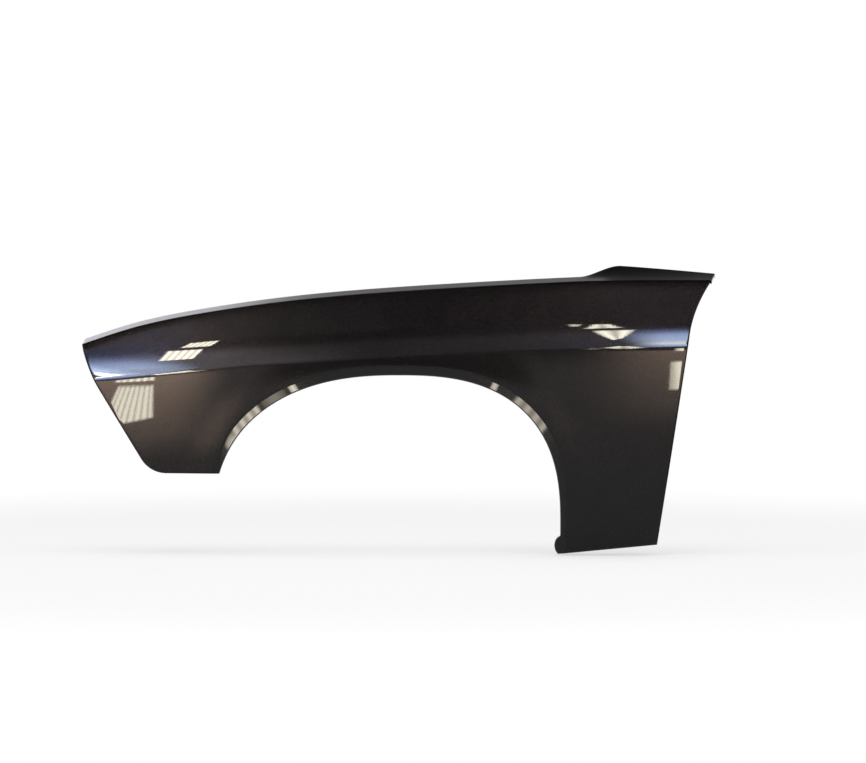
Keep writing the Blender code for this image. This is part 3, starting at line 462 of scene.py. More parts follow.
class Pressing:
    """The pressed surface, its lip and its flanges for one set of sizes, as an open bmesh."""

    def __init__(self, sizes):
        self.size = sizes
        self.fine = sizes.fineness
        self.mesh = bmesh.new()
        self.holes = []

    # Shape across the car
    def side_y(self, x, z):
        """The side of the panel: scalloped above the crease, gently full below it."""
        above = z - crease_z(x)
        slope = mix(SCALLOP_MIDDLE_SLOPE, SCALLOP_END_SLOPE, (2 * x / LENGTH - 1) ** 2)
        height = scallop_height(x)
        up = max(above, 0)
        faded = 1 - (1 - min(up / height, 1)) ** 3
        hollow = (slope - UPPER_SIDE_SLOPE) * (up - height / 3 * faded)
        full = min(above, 0) ** 2 / (2 * LOWER_SIDE_RADIUS)
        rounded = ramp(self.size.crease_radius, above)
        bent = above * LOWER_SIDE_SLOPE + (slope - LOWER_SIDE_SLOPE) * rounded
        return crease_y(x) + bent - hollow + full - flare(x, z) + sill_tuck(x, z)

    def sharp_shoulder(self, x):
        """(Y, Z) of the sharp shoulder that the radius rounds."""
        z = shoulder_z(x)
        return np.array([self.side_y(x, z), z])

    def hood_gap(self, x):
        """(Y, Z) of the edge beside the hood."""
        width, rise, _ = top_section(x)
        return self.sharp_shoulder(x) + np.array([width, rise])

    def shoulder_arc(self, x, share):
        """(Y, Z) on the rounded shoulder, from the side at 0 to the top strip at 1."""
        width, rise, scoop = top_section(x)
        inboard = np.array([width, rise * (1 - scoop)])
        inboard = inboard / np.linalg.norm(inboard)
        side = np.array([UPPER_SIDE_SLOPE, 1.0])
        side = side / np.linalg.norm(side)
        turn = math.acos(float(side @ inboard))
        radius = self.size.shoulder_radius
        start = self.sharp_shoulder(x) - side * radius * math.tan(turn / 2)
        inwards = (inboard - side * math.cos(turn)) / math.sin(turn)
        angle = turn * share
        return start + radius * (side * math.sin(angle) + inwards * (1 - math.cos(angle)))

    def strip_point(self, x, share):
        """(Y, Z) on the top strip, from the hood gap at 0 to the rounded shoulder at 1."""
        width, rise, scoop = top_section(x)
        corner = self.sharp_shoulder(x)
        first = (self.shoulder_arc(x, 1)[0] - corner[0]) / width
        along = mix(1, first, share)
        lifted = ((along - first) / (1 - first)) ** 2
        return corner + np.array([width * along, rise * mix(along, lifted, scoop)])

    def row_origin(self):
        """The panel's origin, under the locating land, in the frame of the drawing."""
        return self.land_point(LOCATING_LAND_SHARE * LENGTH) - Vector((0, 0, self.size.sheet))

    # Edges of the pressed surface, kept a fold radius inside the finished outline
    def front_inset_x(self, z):
        return front_x(z) + self.size.fold_radius * math.hypot(1, front_slope(z))

    def rear_inset_x(self, z):
        return rear_x(z) - self.size.fold_radius * math.hypot(1, rear_slope(z))

    def below_crease(self, x):
        """Height of the row just below the crease's rounding."""
        return crease_z(x) - self.size.crease_radius

    def lip_width(self, x, z):
        """Width of the lip, which narrows down each leg."""
        if x < ARCH_CENTRE_X:
            share, start, over = LIP_AT_FRONT_FOOT_SHARE, FRONT_FOOT_Z, LIP_NARROWS_OVER_FRONT
        else:
            share, start, over = LIP_AT_REAR_FOOT_SHARE, ARCH_CENTRE_Z, LIP_NARROWS_OVER_REAR
        return self.size.lip_width * mix(share, 1, smooth_step(start, start + over, z))

    def lip_lines(self, counts):
        """Matching points of the lip's inner edge and of its outer line, with a count for each run:
        up the front leg, over the wheel, down the rear leg and past the ear."""
        fold = self.size.fold_radius
        dense = arch_outline()
        along = np.gradient(dense, axis=0)
        along /= np.linalg.norm(along, axis=1)[:, None]
        outwards = np.stack([-along[:, 1], along[:, 0]], axis=1)
        edges, lines = [], []
        for point, out in zip(dense, outwards):
            if point[0] < ARCH_CENTRE_X:
                levelled = 1 - smooth_step(FRONT_FOOT_Z, FRONT_FOOT_Z + FRONT_CORNER_RADIUS, point[1])
                out = mix(out, np.array([-1.0, 0.0]), levelled)
            bulge = np.array([ear(point[1]), 0.0]) if point[0] > ARCH_CENTRE_X else np.zeros(2)
            edges.append(point + out * fold - bulge)
            lines.append(point + out * (fold + self.lip_width(*point)))
        both = np.hstack([np.array(edges), np.array(lines)])
        foot_z = FRONT_FOOT_Z + fold
        first = int(np.argmax(both[:, 1] >= foot_z))
        last = len(both) - int(np.argmax(both[::-1, 1] >= sill_z(both[::-1, 0]) + fold))
        both = both[first:last]
        walked = np.concatenate([[0], np.cumsum(np.linalg.norm(np.diff(both[:, 2:], axis=0), axis=1))])
        top = int(np.argmax(both[:, 3]))
        corner_f = int(np.argmin(np.abs(walked - walked[top] * FRONT_TURN_SHARE)))
        corner_r = int(np.argmin(np.abs(walked - mix(walked[top], walked[-1], REAR_TURN_SHARE))))
        ear_end_z = both[-1, 1] + EAR_HEIGHT + EAR_REACH
        ear_top = len(both) - int(np.argmax(both[::-1, 1] > ear_end_z))
        runs = [both[:corner_f + 1], both[corner_f:corner_r + 1], both[corner_r:ear_top]]
        runs.append(both[ear_top - 1:])
        points = []
        for run, count in zip(runs, counts):
            points += spaced(run, count)[1 if points else 0:]
        points[0][1] = points[0][3] = foot_z
        points[-1][1] = sill_z(points[-1][0]) + fold
        points[-1][3] = sill_z(points[-1][2]) + fold
        return [p[:2] for p in points], [p[2:] for p in points]

    def front_leg_edge(self, top_z, count):
        """The front edge from top_z down the rake and round the corner to the foot."""
        foot_z = FRONT_FOOT_Z + self.size.fold_radius
        rake = math.atan(FRONT_RAKE)
        radius = FRONT_CORNER_RADIUS - self.size.fold_radius
        centre_z = foot_z + radius
        centre_x = self.front_inset_x(foot_z) + radius * math.tan((math.pi / 2 - rake) / 2)
        arc = [
            (centre_x - radius * math.cos(a), centre_z - radius * math.sin(a))
            for a in np.linspace(rake, math.pi / 2, DENSE_POINTS // 4)
        ]
        heights = np.linspace(top_z, arc[0][1], DENSE_POINTS // 4)[:-1]
        return spaced([(self.front_inset_x(z), z) for z in heights] + arc, count)

    def rear_corner(self):
        """Where the inset rear edge meets the inset sill edge."""
        z = REAR_FOOT_Z
        for _ in range(CORNER_PASSES):
            x = self.rear_inset_x(z)
            z = sill_z(x) + self.size.fold_radius
        return np.array([x, z])

    def ends_at(self, level):
        """Front and rear ends of a line z = level(x), on the inset edges of the panel."""
        front = rear = 0
        for _ in range(END_PASSES):
            front = self.front_inset_x(level(front))
            rear = self.rear_inset_x(level(rear))
        return front, rear

    # The pressed surface as rows of points
    def row_levels(self):
        """(band, share) of each row from the hood gap down past the crease."""
        bands = (
            ("strip", STRIP_ROWS), ("shoulder", SHOULDER_ROWS), ("plain", PLAIN_ROWS),
            ("scallop", SCALLOP_ROWS), ("crease", CREASE_ROWS),
        )
        levels = [("strip", 0)]
        for band, rows in bands:
            count = rows * self.fine
            levels += [(band, (k + 1) / count) for k in range(count)]
        return levels

    def section_point(self, band, share, x):
        """(Y, Z) of a row at a place along the panel."""
        if band == "strip":
            return self.strip_point(x, share)
        if band == "shoulder":
            return self.shoulder_arc(x, 1 - share)
        top = self.shoulder_arc(x, 0)[1]
        crease = crease_z(x)
        soft = self.size.crease_radius
        hollow = min(crease + scallop_height(x), mix(crease, top, SCALLOP_TOP_SHARE))
        if band == "plain":
            z = mix(top, hollow, share)
        elif band == "scallop":
            z = mix(hollow, crease + soft, share * (2 - share))
        else:
            z = mix(crease + soft, crease - soft, share)
        return np.array([self.side_y(x, z), z])

    def upper_rows(self, shares):
        """Rows from the hood gap down past the crease, each with one vertex per column."""
        rows = []
        for band, share in self.row_levels():
            front, rear = self.ends_at(lambda x: self.section_point(band, share, x)[1])
            if band == "strip":
                front += HOOD_CORNER_SETBACK * (1 - share)
            row = []
            for along in shares:
                x = mix(front, rear, along)
                row.append(self.mesh.verts.new((x, *self.section_point(band, share, x))))
            rows.append(row)
        return rows

    def new_row(self, points):
        return [self.mesh.verts.new((x, self.side_y(x, z), z)) for x, z in points]

    def press(self):
        """Makes the surface and keeps its edges by name, as runs that follow each other round it."""
        nose, arch, tail = (count * self.fine for count in (NOSE_COLUMNS, ARCH_COLUMNS, TAIL_COLUMNS))
        front_rows, rear_rows, ear_rows = (
            count * self.fine for count in (FRONT_LEG_ROWS, REAR_LEG_ROWS, EAR_ROWS)
        )
        edges, lines = self.lip_lines((front_rows, arch, rear_rows, ear_rows))
        arch_line = lines[front_rows:front_rows + arch + 1]
        front_end, rear_end = self.ends_at(self.below_crease)
        over_front = mix(arch_line[0][0], front_end, COLUMN_SPREAD_SHARE)
        over_rear = mix(arch_line[-1][0], rear_end, COLUMN_SPREAD_SHARE)
        crease_x = np.concatenate([
            np.linspace(front_end, over_front, nose + 1),
            np.linspace(over_front, over_rear, arch + 1)[1:],
            np.linspace(over_rear, rear_end, tail + 1)[1:],
        ])
        over_arch = crease_x[nose:nose + arch + 1]
        rows = self.upper_rows((crease_x - front_end) / (rear_end - front_end))
        front_top = mix(FRONT_FOOT_Z, self.below_crease(front_end), LEG_TOP_SHARE)
        rear_top = mix(REAR_FOOT_Z, self.below_crease(rear_end), LEG_TOP_SHARE)
        for share in np.linspace(0, 1, CREASE_TO_ARCH_ROWS * self.fine + 1)[1:]:
            front_z = mix(self.below_crease(front_end), front_top, share)
            rear_z = mix(self.below_crease(rear_end), rear_top, share)
            left = np.array([self.front_inset_x(front_z), front_z])
            right = np.array([self.rear_inset_x(rear_z), rear_z])
            middle = [
                mix(np.array([x, self.below_crease(x)]), line, share)
                for x, line in zip(over_arch, arch_line)
            ]
            points = [mix(left, middle[0], i / nose) for i in range(nose)] + middle
            points += [mix(middle[-1], right, i / tail) for i in range(1, tail + 1)]
            rows.append(self.new_row(points))

        last = rows[-1]
        front_leg = [last[:nose + 1]]
        front_edge = self.front_leg_edge(front_top, front_rows)
        for k in range(1, front_rows + 1):
            line = lines[front_rows - k]
            front_leg.append(self.new_row(mix(front_edge[k], line, i / nose) for i in range(nose + 1)))
        rear_leg = [last[nose + arch:]]
        foot = self.rear_corner()
        ear_z = foot[1] + EAR_HEIGHT
        levels = list(np.linspace(rear_top, ear_z, rear_rows + 1))
        levels += list(np.linspace(ear_z, foot[1], ear_rows + 1)[1:])
        for k in range(1, rear_rows + ear_rows + 1):
            line = lines[front_rows + arch + k]
            end = np.array([self.rear_inset_x(levels[k]), levels[k]])
            rear_leg.append(self.new_row(mix(line, end, i / tail) for i in range(tail + 1)))
        for block in (rows, front_leg, rear_leg):
            for upper, lower in zip(block, block[1:]):
                knit(self.mesh, upper, lower)

        outer = [row[-1] for row in reversed(front_leg)]
        outer += last[nose + 1:nose + arch]
        outer += [row[0] for row in rear_leg]
        lip = self.roll_lip(edges, lines, outer)
        self.sides = {
            "top": list(reversed(rows[0])),
            "front": [row[0] for row in rows] + [row[0] for row in front_leg[1:]],
            "foot": front_leg[-1] + [row[0] for row in lip[1:]],
            "arch": lip[-1],
            "sill": [row[-1] for row in reversed(lip[1:])] + rear_leg[-1],
            "rear": [row[-1] for row in reversed(rear_leg[1:])] + [row[-1] for row in reversed(rows)],
        }

    def roll_lip(self, edges, lines, outer):
        """The rolled lip, as rows of vertices from its outer line to the edge of the wheel opening."""
        rows = [outer]
        break_rows = BREAK_ROWS * self.fine
        face_rows = LIP_FACE_ROWS * self.fine
        for k in range(1, break_rows + face_rows + 1):
            row = []
            for edge, line in zip(edges, lines):
                width = np.linalg.norm(line - edge)
                bend = LIP_BREAK / width
                across = bend * k / break_rows
                if k > break_rows:
                    across = mix(bend, 1, (k - break_rows) / face_rows)
                turned = across - bend / 2 if k > break_rows else across * across / (2 * bend)
                x, z = mix(line, edge, across)
                inboard = self.size.lip_depth * width / self.size.lip_width * turned
                row.append(self.mesh.verts.new((x, self.side_y(*line) + inboard, z)))
            rows.append(row)
        for upper, lower in zip(rows, rows[1:]):
            knit(self.mesh, upper, lower)
        return rows

    # Flanges
    def rail_level(self, x):
        """Height of the bolting flange, level on each land and following the hood gap between."""
        weight, centre = land_weight(x)
        return mix(self.hood_gap(x)[1], self.hood_gap(centre)[1], weight) - GUTTER_DEPTH

    def land_point(self, x):
        """Middle of the bolting flange at a place on a land, on its upper face."""
        across = self.hood_gap(x)[0] + self.size.fold_radius + GUTTER_FOLD_RADIUS + RAIL_LAND / 2
        return Vector((x, across, self.rail_level(x)))

    def flange_width(self, point):
        """Width of the flange beyond its fold, which narrows towards each corner."""
        def relieved(distance):
            return smooth_step(0, CORNER_RELIEF, distance)

        co = point.vertex.co
        below_shoulder = relieved(shoulder_z(co.x) - 2 * self.size.shoulder_radius - co.z)
        if point.side == "front":
            return mix(CORNER_FLANGE, EDGE_FLANGE, below_shoulder)
        if point.side == "rear":
            return mix(CORNER_FLANGE, EDGE_FLANGE, below_shoulder * relieved(point.from_start))
        if point.side == "foot":
            return mix(CORNER_FLANGE, EDGE_FLANGE, relieved(point.to_end))
        full = SILL_FLANGE if point.side == "sill" else EDGE_FLANGE
        return mix(CORNER_FLANGE, full, relieved(point.from_start) * relieved(point.to_end))

    def second_fold(self, feet, inward, ways, reaches):
        """Rows that turn from a flange's end through a right angle and run on by the given reaches."""
        rows = [feet]
        count = FOLD_ROWS * self.fine
        for k in range(1, count + 1):
            angle = math.pi / 2 * k / count
            turned = [inward * math.sin(angle) + way * (1 - math.cos(angle)) for way in ways]
            rows.append([
                self.mesh.verts.new(foot.co + GUTTER_FOLD_RADIUS * turn) for foot, turn in zip(feet, turned)
            ])
        rows.append([
            self.mesh.verts.new(foot.co + way * reach) for foot, way, reach in zip(rows[-1], ways, reaches)
        ])
        for inner, outer in zip(rows, rows[1:]):
            knit(self.mesh, inner, outer)
        return rows

    def fold(self):
        """Folds every edge inwards, then the bolting rail from the hood side and the tabs at the rear."""
        self.mesh.normal_update()
        points = edge_points(self.sides, self.size)
        rows = [[point.vertex for point in points]]
        count = FOLD_ROWS * self.fine
        for k in range(1, count + 1):
            rows.append([self.mesh.verts.new(point.folded(k / count)) for point in points])
        feet = []
        for point, last in zip(points, rows[-1]):
            width = self.flange_width(point)
            if point.side == "top":
                wall = last.co.z - self.rail_level(point.vertex.co.x) - GUTTER_FOLD_RADIUS
                corner = min(point.from_start, point.to_end)
                width = mix(CORNER_FLANGE, wall, smooth_step(0, GUTTER_RELIEF, corner))
            tab = tab_at(point)
            if tab is not None:
                furthest = max(end.co.y for p, end in zip(points, rows[-1]) if tab_at(p) == tab)
                width = furthest + TAB_STANDOFF - GUTTER_FOLD_RADIUS - last.co.y
            feet.append(self.mesh.verts.new(last.co + point.inward * width))
        rows.append(feet)
        for inner, outer in zip(rows, rows[1:]):
            for i in range(len(inner)):
                self.mesh.faces.new((inner[i], inner[i - 1], outer[i - 1], outer[i]))
        self.fold_rail(points, feet)
        self.fold_tabs(points, feet)
        for side, shares, kind in (
            ("sill", SILL_HOLE_SHARES, "slot"), ("arch", ARCH_HOLE_SHARES, "clip"),
            ("front", FRONT_HOLE_SHARES, "clip"),
        ):
            chosen = [i for i, p in enumerate(points) if p.side == side]
            length = points[chosen[0]].to_end
            for share in shares:
                i = min(chosen, key=lambda n: abs(points[n].from_start - share * length))
                centre = (rows[-2][i].co + feet[i].co + rows[-2][i - 1].co + feet[i - 1].co) / 4
                along = (feet[i].co - feet[i - 1].co).normalized()
                self.holes.append((centre, (points[i].way + points[i - 1].way).normalized(), along, kind))

    def fold_rail(self, points, feet):
        """The rail that bolts to the body beside the hood, with a slot in each land."""
        rail = [
            i for i, p in enumerate(points)
            if p.side == "top" and min(p.from_start, p.to_end) > GUTTER_RELIEF
            and p.vertex.co.x > RAIL_FRONT_X
        ]
        down = Vector((0, 0, -1))
        reaches = [rail_width(points[i].vertex.co.x) for i in rail]
        self.second_fold([feet[i] for i in rail], down, [points[i].way for i in rail], reaches)
        for share in LAND_SHARES:
            located = share == LOCATING_LAND_SHARE
            for offset in (-LOCATING_HOLE_OFFSET, LOCATING_HOLE_OFFSET) if located else (0,):
                centre = self.land_point(share * LENGTH + offset)
                self.holes.append((centre, Vector((0, 0, 1)), Vector((1, 0, 0)), "slot"))

    def fold_tabs(self, points, feet):
        """The two tabs that bolt to the door post."""
        inboard = Vector((0, 1, 0))
        for height in TAB_HEIGHTS:
            tab = [i for i, p in enumerate(points) if tab_at(p) == height]
            ways = [-points[i].way for i in tab]
            end = self.second_fold([feet[i] for i in tab], inboard, ways, [TAB_REACH] * len(tab))
            corners = [v.co for row in end[-2:] for v in (row[0], row[-1])]
            self.holes.append((sum(corners, Vector()) / len(corners), inboard, Vector((0, 0, 1)), "slot"))


class EdgePoint:
    """One point on the edge of the panel, with the frame that its flange is folded in."""

    def __init__(self, side, vertex, before, after, from_start, to_end, size):
        self.side = side
        self.vertex = vertex
        self.from_start = from_start
        self.to_end = to_end
        self.radius = size.fold_radius
        self.inward = fold_direction(side, vertex, size.shoulder_radius)
        ways, leans = [], []
        for run in (vertex.co - before.co, after.co - vertex.co):
            ways.append(self.inward.cross(run).normalized())
            leans.append(run.cross(vertex.normal).normalized().dot(self.inward))
        self.way = (ways[0] + ways[1]) / (1 + ways[0].dot(ways[1]))
        self.lean = math.asin(sum(leans) / 2)

    def folded(self, share):
        """A point on the fold, whose reach beyond the panel is the same for any slope."""
        start = math.sin(self.lean)
        angle = mix(self.lean, math.pi / 2, share)
        reach = (math.sin(angle) - start) / (1 - start)
        depth = (math.cos(self.lean) - math.cos(angle)) / (1 - start)
        return self.vertex.co + self.radius * (self.way * reach + self.inward * depth)


def fold_direction(side, vertex, shoulder_radius):
    """Which way a flange points: straight inboard, or into the car round the shoulder."""
    if side == "top":
        return Vector((0, 0, -1))
    if side in ("front", "rear"):
        shoulder = shoulder_z(vertex.co.x)
        round_shoulder = smooth_step(shoulder - 3 * shoulder_radius, shoulder - shoulder_radius, vertex.co.z)
        return Vector((0, 1, 0)).lerp(-vertex.normal, round_shoulder).normalized()
    return Vector((0, 1, 0))


def edge_points(sides, size):
    """The whole edge of the panel as one closed run."""
    points = []
    names = list(sides)
    for position, name in enumerate(names):
        run = sides[name]
        previous = sides[names[position - 1]]
        steps = [(b.co - a.co).length for a, b in zip(run, run[1:])]
        for i, vertex in enumerate(run[:-1]):
            before = run[i - 1] if i else previous[-2]
            points.append(
                EdgePoint(name, vertex, before, run[i + 1], sum(steps[:i]), sum(steps[i:]), size)
            )
    return points


def tab_at(point):
    """The height of the rear tab that an edge point belongs to, or None."""
    if point.side != "rear":
        return None
    near = [height for height in TAB_HEIGHTS if abs(point.vertex.co.z - height) < TAB_HALF_HEIGHT]
    return near[0] if near else None


# Node trees
def add_node(tree, kind, inputs=None, **settings):
    """A node with its settings, and its inputs linked or set by name or number."""
    node = tree.nodes.new(kind)
    for name, value in settings.items():
        setattr(node, name, value)
    for key, value in (inputs or {}).items():
        if isinstance(value, bpy.types.NodeSocket):
            tree.links.new(value, node.inputs[key])
        else:
            node.inputs[key].default_value = value
    return node


def punch_tree():
    """Geometry nodes that punch slots and round holes at points and hand the panel its paint."""
    tree = bpy.data.node_groups.new("punch_holes", "GeometryNodeTree")
    sockets = tree.interface
    sockets.new_socket("Geometry", in_out="INPUT", socket_type="NodeSocketGeometry")
    sockets.new_socket("Hole Points", in_out="INPUT", socket_type="NodeSocketObject")
    for name in ("Slot Width", "Slot Length", "Clip Hole", "Punch Depth"):
        sockets.new_socket(name, in_out="INPUT", socket_type="NodeSocketFloat")
    sockets.new_socket("Sides", in_out="INPUT", socket_type="NodeSocketInt")
    sockets.new_socket("Paint", in_out="INPUT", socket_type="NodeSocketMaterial")
    sockets.new_socket("Geometry", in_out="OUTPUT", socket_type="NodeSocketGeometry")
    given = add_node(tree, "NodeGroupInput").outputs
    where = add_node(tree, "GeometryNodeObjectInfo", {"Object": given["Hole Points"]})

    def named(name, kind):
        return add_node(tree, "GeometryNodeInputNamedAttribute", {"Name": name}, data_type=kind).outputs[0]

    def half(socket):
        return add_node(tree, "ShaderNodeMath", {0: socket, 1: 0.5}, operation="MULTIPLY").outputs[0]

    def punch(width):
        made = add_node(tree, "GeometryNodeMeshCylinder", {
            "Vertices": given["Sides"], "Radius": half(width), "Depth": given["Punch Depth"],
        })
        return made.outputs["Mesh"]

    place = add_node(tree, "GeometryNodeInputPosition").outputs[0]
    x = add_node(tree, "ShaderNodeSeparateXYZ", {0: place}).outputs["X"]
    side = add_node(tree, "ShaderNodeMath", {0: x}, operation="SIGN").outputs[0]
    spare = add_node(tree, "ShaderNodeMath", {0: given["Slot Length"], 1: given["Slot Width"]},
                     operation="SUBTRACT").outputs[0]
    apart = add_node(tree, "ShaderNodeMath", {0: side, 1: half(spare)}, operation="MULTIPLY").outputs[0]
    shift = add_node(tree, "ShaderNodeCombineXYZ", {"X": apart}).outputs[0]
    slot = add_node(tree, "GeometryNodeSetPosition", {
        "Geometry": punch(given["Slot Width"]), "Offset": shift,
    })
    turn = add_node(tree, "FunctionNodeAxesToRotation", {
        0: named("axis", "FLOAT_VECTOR"), 1: named("along", "FLOAT_VECTOR"),
    }, primary_axis="Z", secondary_axis="X").outputs[0]
    slotted = named("slotted", "BOOLEAN")
    rounded = add_node(tree, "FunctionNodeBooleanMath", {0: slotted}, operation="NOT").outputs[0]
    punches = add_node(tree, "GeometryNodeJoinGeometry")
    for chosen, shape in ((slotted, slot.outputs[0]), (rounded, punch(given["Clip Hole"]))):
        copies = add_node(tree, "GeometryNodeInstanceOnPoints", {
            "Points": where.outputs["Geometry"], "Selection": chosen, "Instance": shape, "Rotation": turn,
        })
        tree.links.new(copies.outputs[0], punches.inputs[0])
    solid = add_node(tree, "GeometryNodeRealizeInstances", {0: punches.outputs[0]}).outputs[0]
    marked = add_node(tree, "GeometryNodeStoreNamedAttribute", {
        "Geometry": given["Geometry"], "Name": "inner_side", "Value": named("inside", "FLOAT"),
    }, data_type="FLOAT", domain="POINT").outputs[0]
    cut = add_node(tree, "GeometryNodeMeshBoolean", {"Mesh 1": marked, "Mesh 2": solid},
                   operation="DIFFERENCE", solver="EXACT").outputs[0]
    whole = add_node(tree, "GeometryNodeRealizeInstances", {0: cut}).outputs[0]
    painted = add_node(tree, "GeometryNodeSetMaterial", {"Geometry": whole, "Material": given["Paint"]})
    add_node(tree, "NodeGroupOutput", {0: painted.outputs[0]})
    return tree


def set_input(modifier, name, value):
    """Sets a modifier's input by the identifier of the socket with this name."""
    for item in modifier.node_group.interface.items_tree:
        if item.item_type == "SOCKET" and item.in_out == "INPUT" and item.name == name:
            modifier[item.identifier] = value
            return
    raise KeyError(name)


def new_object(name, data):
    """An object of this data in the scene."""
    item = bpy.data.objects.new(name, data)
    bpy.context.scene.collection.objects.link(item)
    return item


def bake(item, name):
    """A plain mesh object of the evaluated one, which is removed."""
    bpy.context.view_layer.update()
    evaluated = item.evaluated_get(bpy.context.evaluated_depsgraph_get())
    mesh = bpy.data.meshes.new_from_object(evaluated)
    bpy.data.objects.remove(item)
    mesh.name = name
    return new_object(name, mesh)


# Paint
FLAKE_LEVEL = 0.55
CLOUD_SCALE = 22.0
CLOUD_DETAIL = 3.0
NOISE_LOW, NOISE_HIGH = 0.3, 0.7
DRIFT_LOW, DRIFT_HIGH = 0.85, 1.15
GRAIN_FLAKES = 3
ROUGHNESS_LOW, ROUGHNESS_HIGH = 0.33, 0.41
INSIDE_ROUGHNESS = 0.55
COAT_OUTSIDE, COAT_INSIDE = 0.75, 0.22
METALLIC = 0.9
SPECULAR_LEVEL = 0.15
COAT_ROUGHNESS = 0.02
COAT_IOR = 1.33
PEEL_DETAIL = 1.0


def metallic_paint(paint):
    """Dark metallic ground under a clear coat, dry and thin on the hidden side."""
    material = bpy.data.materials.new("metallic_paint")
    material.use_nodes = True
    tree = material.node_tree
    shader = tree.nodes["Principled BSDF"]
    place = add_node(tree, "ShaderNodeTexCoord").outputs["Object"]
    inner = add_node(tree, "ShaderNodeAttribute", attribute_name="inner_side").outputs["Fac"]

    flakes = add_node(tree, "ShaderNodeTexVoronoi", {"Vector": place, "Scale": 1 / paint.flake_size})
    glint = add_node(tree, "ShaderNodeMapRange", {
        "Value": flakes.outputs["Color"], "From Min": FLAKE_LEVEL, "From Max": 1.0,
    }).outputs[0]
    cloud = add_node(tree, "ShaderNodeTexNoise", {
        "Vector": place, "Scale": CLOUD_SCALE, "Detail": CLOUD_DETAIL,
    })
    drift = add_node(tree, "ShaderNodeMapRange", {
        "Value": cloud.outputs["Fac"], "From Min": NOISE_LOW, "From Max": NOISE_HIGH,
        "To Min": DRIFT_LOW, "To Max": DRIFT_HIGH,
    }).outputs[0]
    ground = add_node(tree, "ShaderNodeMix", {
        "Factor": glint, 6: (*paint.colour, 1), 7: (*paint.flake, 1),
    }, data_type="RGBA").outputs[2]
    sided = add_node(tree, "ShaderNodeMix", {
        "Factor": inner, 6: ground, 7: (*paint.inside, 1),
    }, data_type="RGBA").outputs[2]
    shaded = add_node(tree, "ShaderNodeVectorMath", {0: sided, "Scale": drift}, operation="SCALE").outputs[0]
    tree.links.new(shaded, shader.inputs["Base Color"])

    grain = add_node(tree, "ShaderNodeTexNoise", {
        "Vector": place, "Scale": 1 / (GRAIN_FLAKES * paint.flake_size),
    })
    rough = add_node(tree, "ShaderNodeMapRange", {
        "Value": grain.outputs["Fac"], "From Min": NOISE_LOW, "From Max": NOISE_HIGH,
        "To Min": ROUGHNESS_LOW, "To Max": ROUGHNESS_HIGH,
    }).outputs[0]
    dull = add_node(tree, "ShaderNodeMix", {
        "Factor": inner, 2: rough, 3: INSIDE_ROUGHNESS,
    }, data_type="FLOAT")
    tree.links.new(dull.outputs[0], shader.inputs["Roughness"])
    coat = add_node(tree, "ShaderNodeMapRange", {
        "Value": inner, "To Min": COAT_OUTSIDE, "To Max": COAT_INSIDE,
    })
    tree.links.new(coat.outputs[0], shader.inputs["Coat Weight"])
    shader.inputs["Metallic"].default_value = METALLIC
    shader.inputs["Specular IOR Level"].default_value = SPECULAR_LEVEL
    shader.inputs["Coat Roughness"].default_value = COAT_ROUGHNESS
    shader.inputs["Coat IOR"].default_value = COAT_IOR

    peel = add_node(tree, "ShaderNodeTexNoise", {
        "Vector": place, "Scale": 1 / paint.peel_size, "Detail": PEEL_DETAIL,
    })
    bump = add_node(tree, "ShaderNodeBump", {
        "Height": peel.outputs["Fac"], "Strength": 1.0, "Distance": paint.peel_height,
    }).outputs[0]
    tree.links.new(bump, shader.inputs["Normal"])
    tree.links.new(bump, shader.inputs["Coat Normal"])
    return material


class FENDER_OT_panel(bpy.types.Operator):
    """Press, fold, thicken, punch and paint the fender panel"""

    bl_idname = "fender.panel"
    bl_label = "Fender Panel"

    def execute(self, context):
        sizes = context.scene.fender_sizes
        pressing = Pressing(sizes)
        pressing.press()
        pressing.fold()
        origin = pressing.row_origin()
        bmesh.ops.translate(pressing.mesh, verts=pressing.mesh.verts, vec=-origin)
        surface = bpy.data.meshes.new("pressed_surface")
        pressing.mesh.to_mesh(surface)
        pressing.mesh.free()
        panel = new_object("pressed_surface", surface)

        points = bpy.data.meshes.new("hole_points")
        points.from_pydata([centre - origin for centre, *_ in pressing.holes], [], [])
        columns = list(zip(*pressing.holes))
        for name, kind, values in (
            ("axis", "FLOAT_VECTOR", columns[1]), ("along", "FLOAT_VECTOR", columns[2]),
            ("slotted", "BOOLEAN", [kind == "slot" for kind in columns[3]]),
        ):
            attribute = points.attributes.new(name, kind, "POINT")
            for item, value in zip(attribute.data, values):
                if kind == "BOOLEAN":
                    item.value = value
                else:
                    item.vector = value
        marks = new_object("hole_points", points)

        panel.vertex_groups.new(name="inside")
        wall = panel.modifiers.new("sheet", "SOLIDIFY")
        wall.thickness = sizes.sheet
        wall.offset = -1
        wall.use_even_offset = True
        wall.use_quality_normals = True
        wall.shell_vertex_group = "inside"
        punched = panel.modifiers.new("holes", "NODES")
        punched.node_group = punch_tree()
        for name, value in (
            ("Hole Points", marks), ("Slot Width", sizes.bolt_hole), ("Slot Length", sizes.bolt_slot),
            ("Clip Hole", sizes.clip_hole), ("Punch Depth", PUNCH_DEPTH), ("Sides", PUNCH_SIDES),
            ("Paint", metallic_paint(context.scene.fender_paint)),
        ):
            set_input(punched, name, value)
        skin = bake(panel, "fender_skin")
        bpy.data.objects.remove(marks)
        skin.data.shade_smooth()
        skin.data.set_sharp_from_angle(angle=math.radians(SHARP_DEGREES))
        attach(skin, "root")
        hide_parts("fender_panel")
        return {"FINISHED"}


# Studio: the camera's framing. PIXEL is metres at the panel's outermost plane, and the edges are where
# the panel's front end and lowest point lie in an image of this size.
PIXEL = 0.0022425
PHOTO_WIDTH = 866
PHOTO_HEIGHT = 763
LEFT_EDGE_PX = 80.0
LOWEST_EDGE_PX = 555.8
SENSOR_WIDTH = 0.036
MM_PER_METRE = 1000
CLIP_DISTANCES = 3

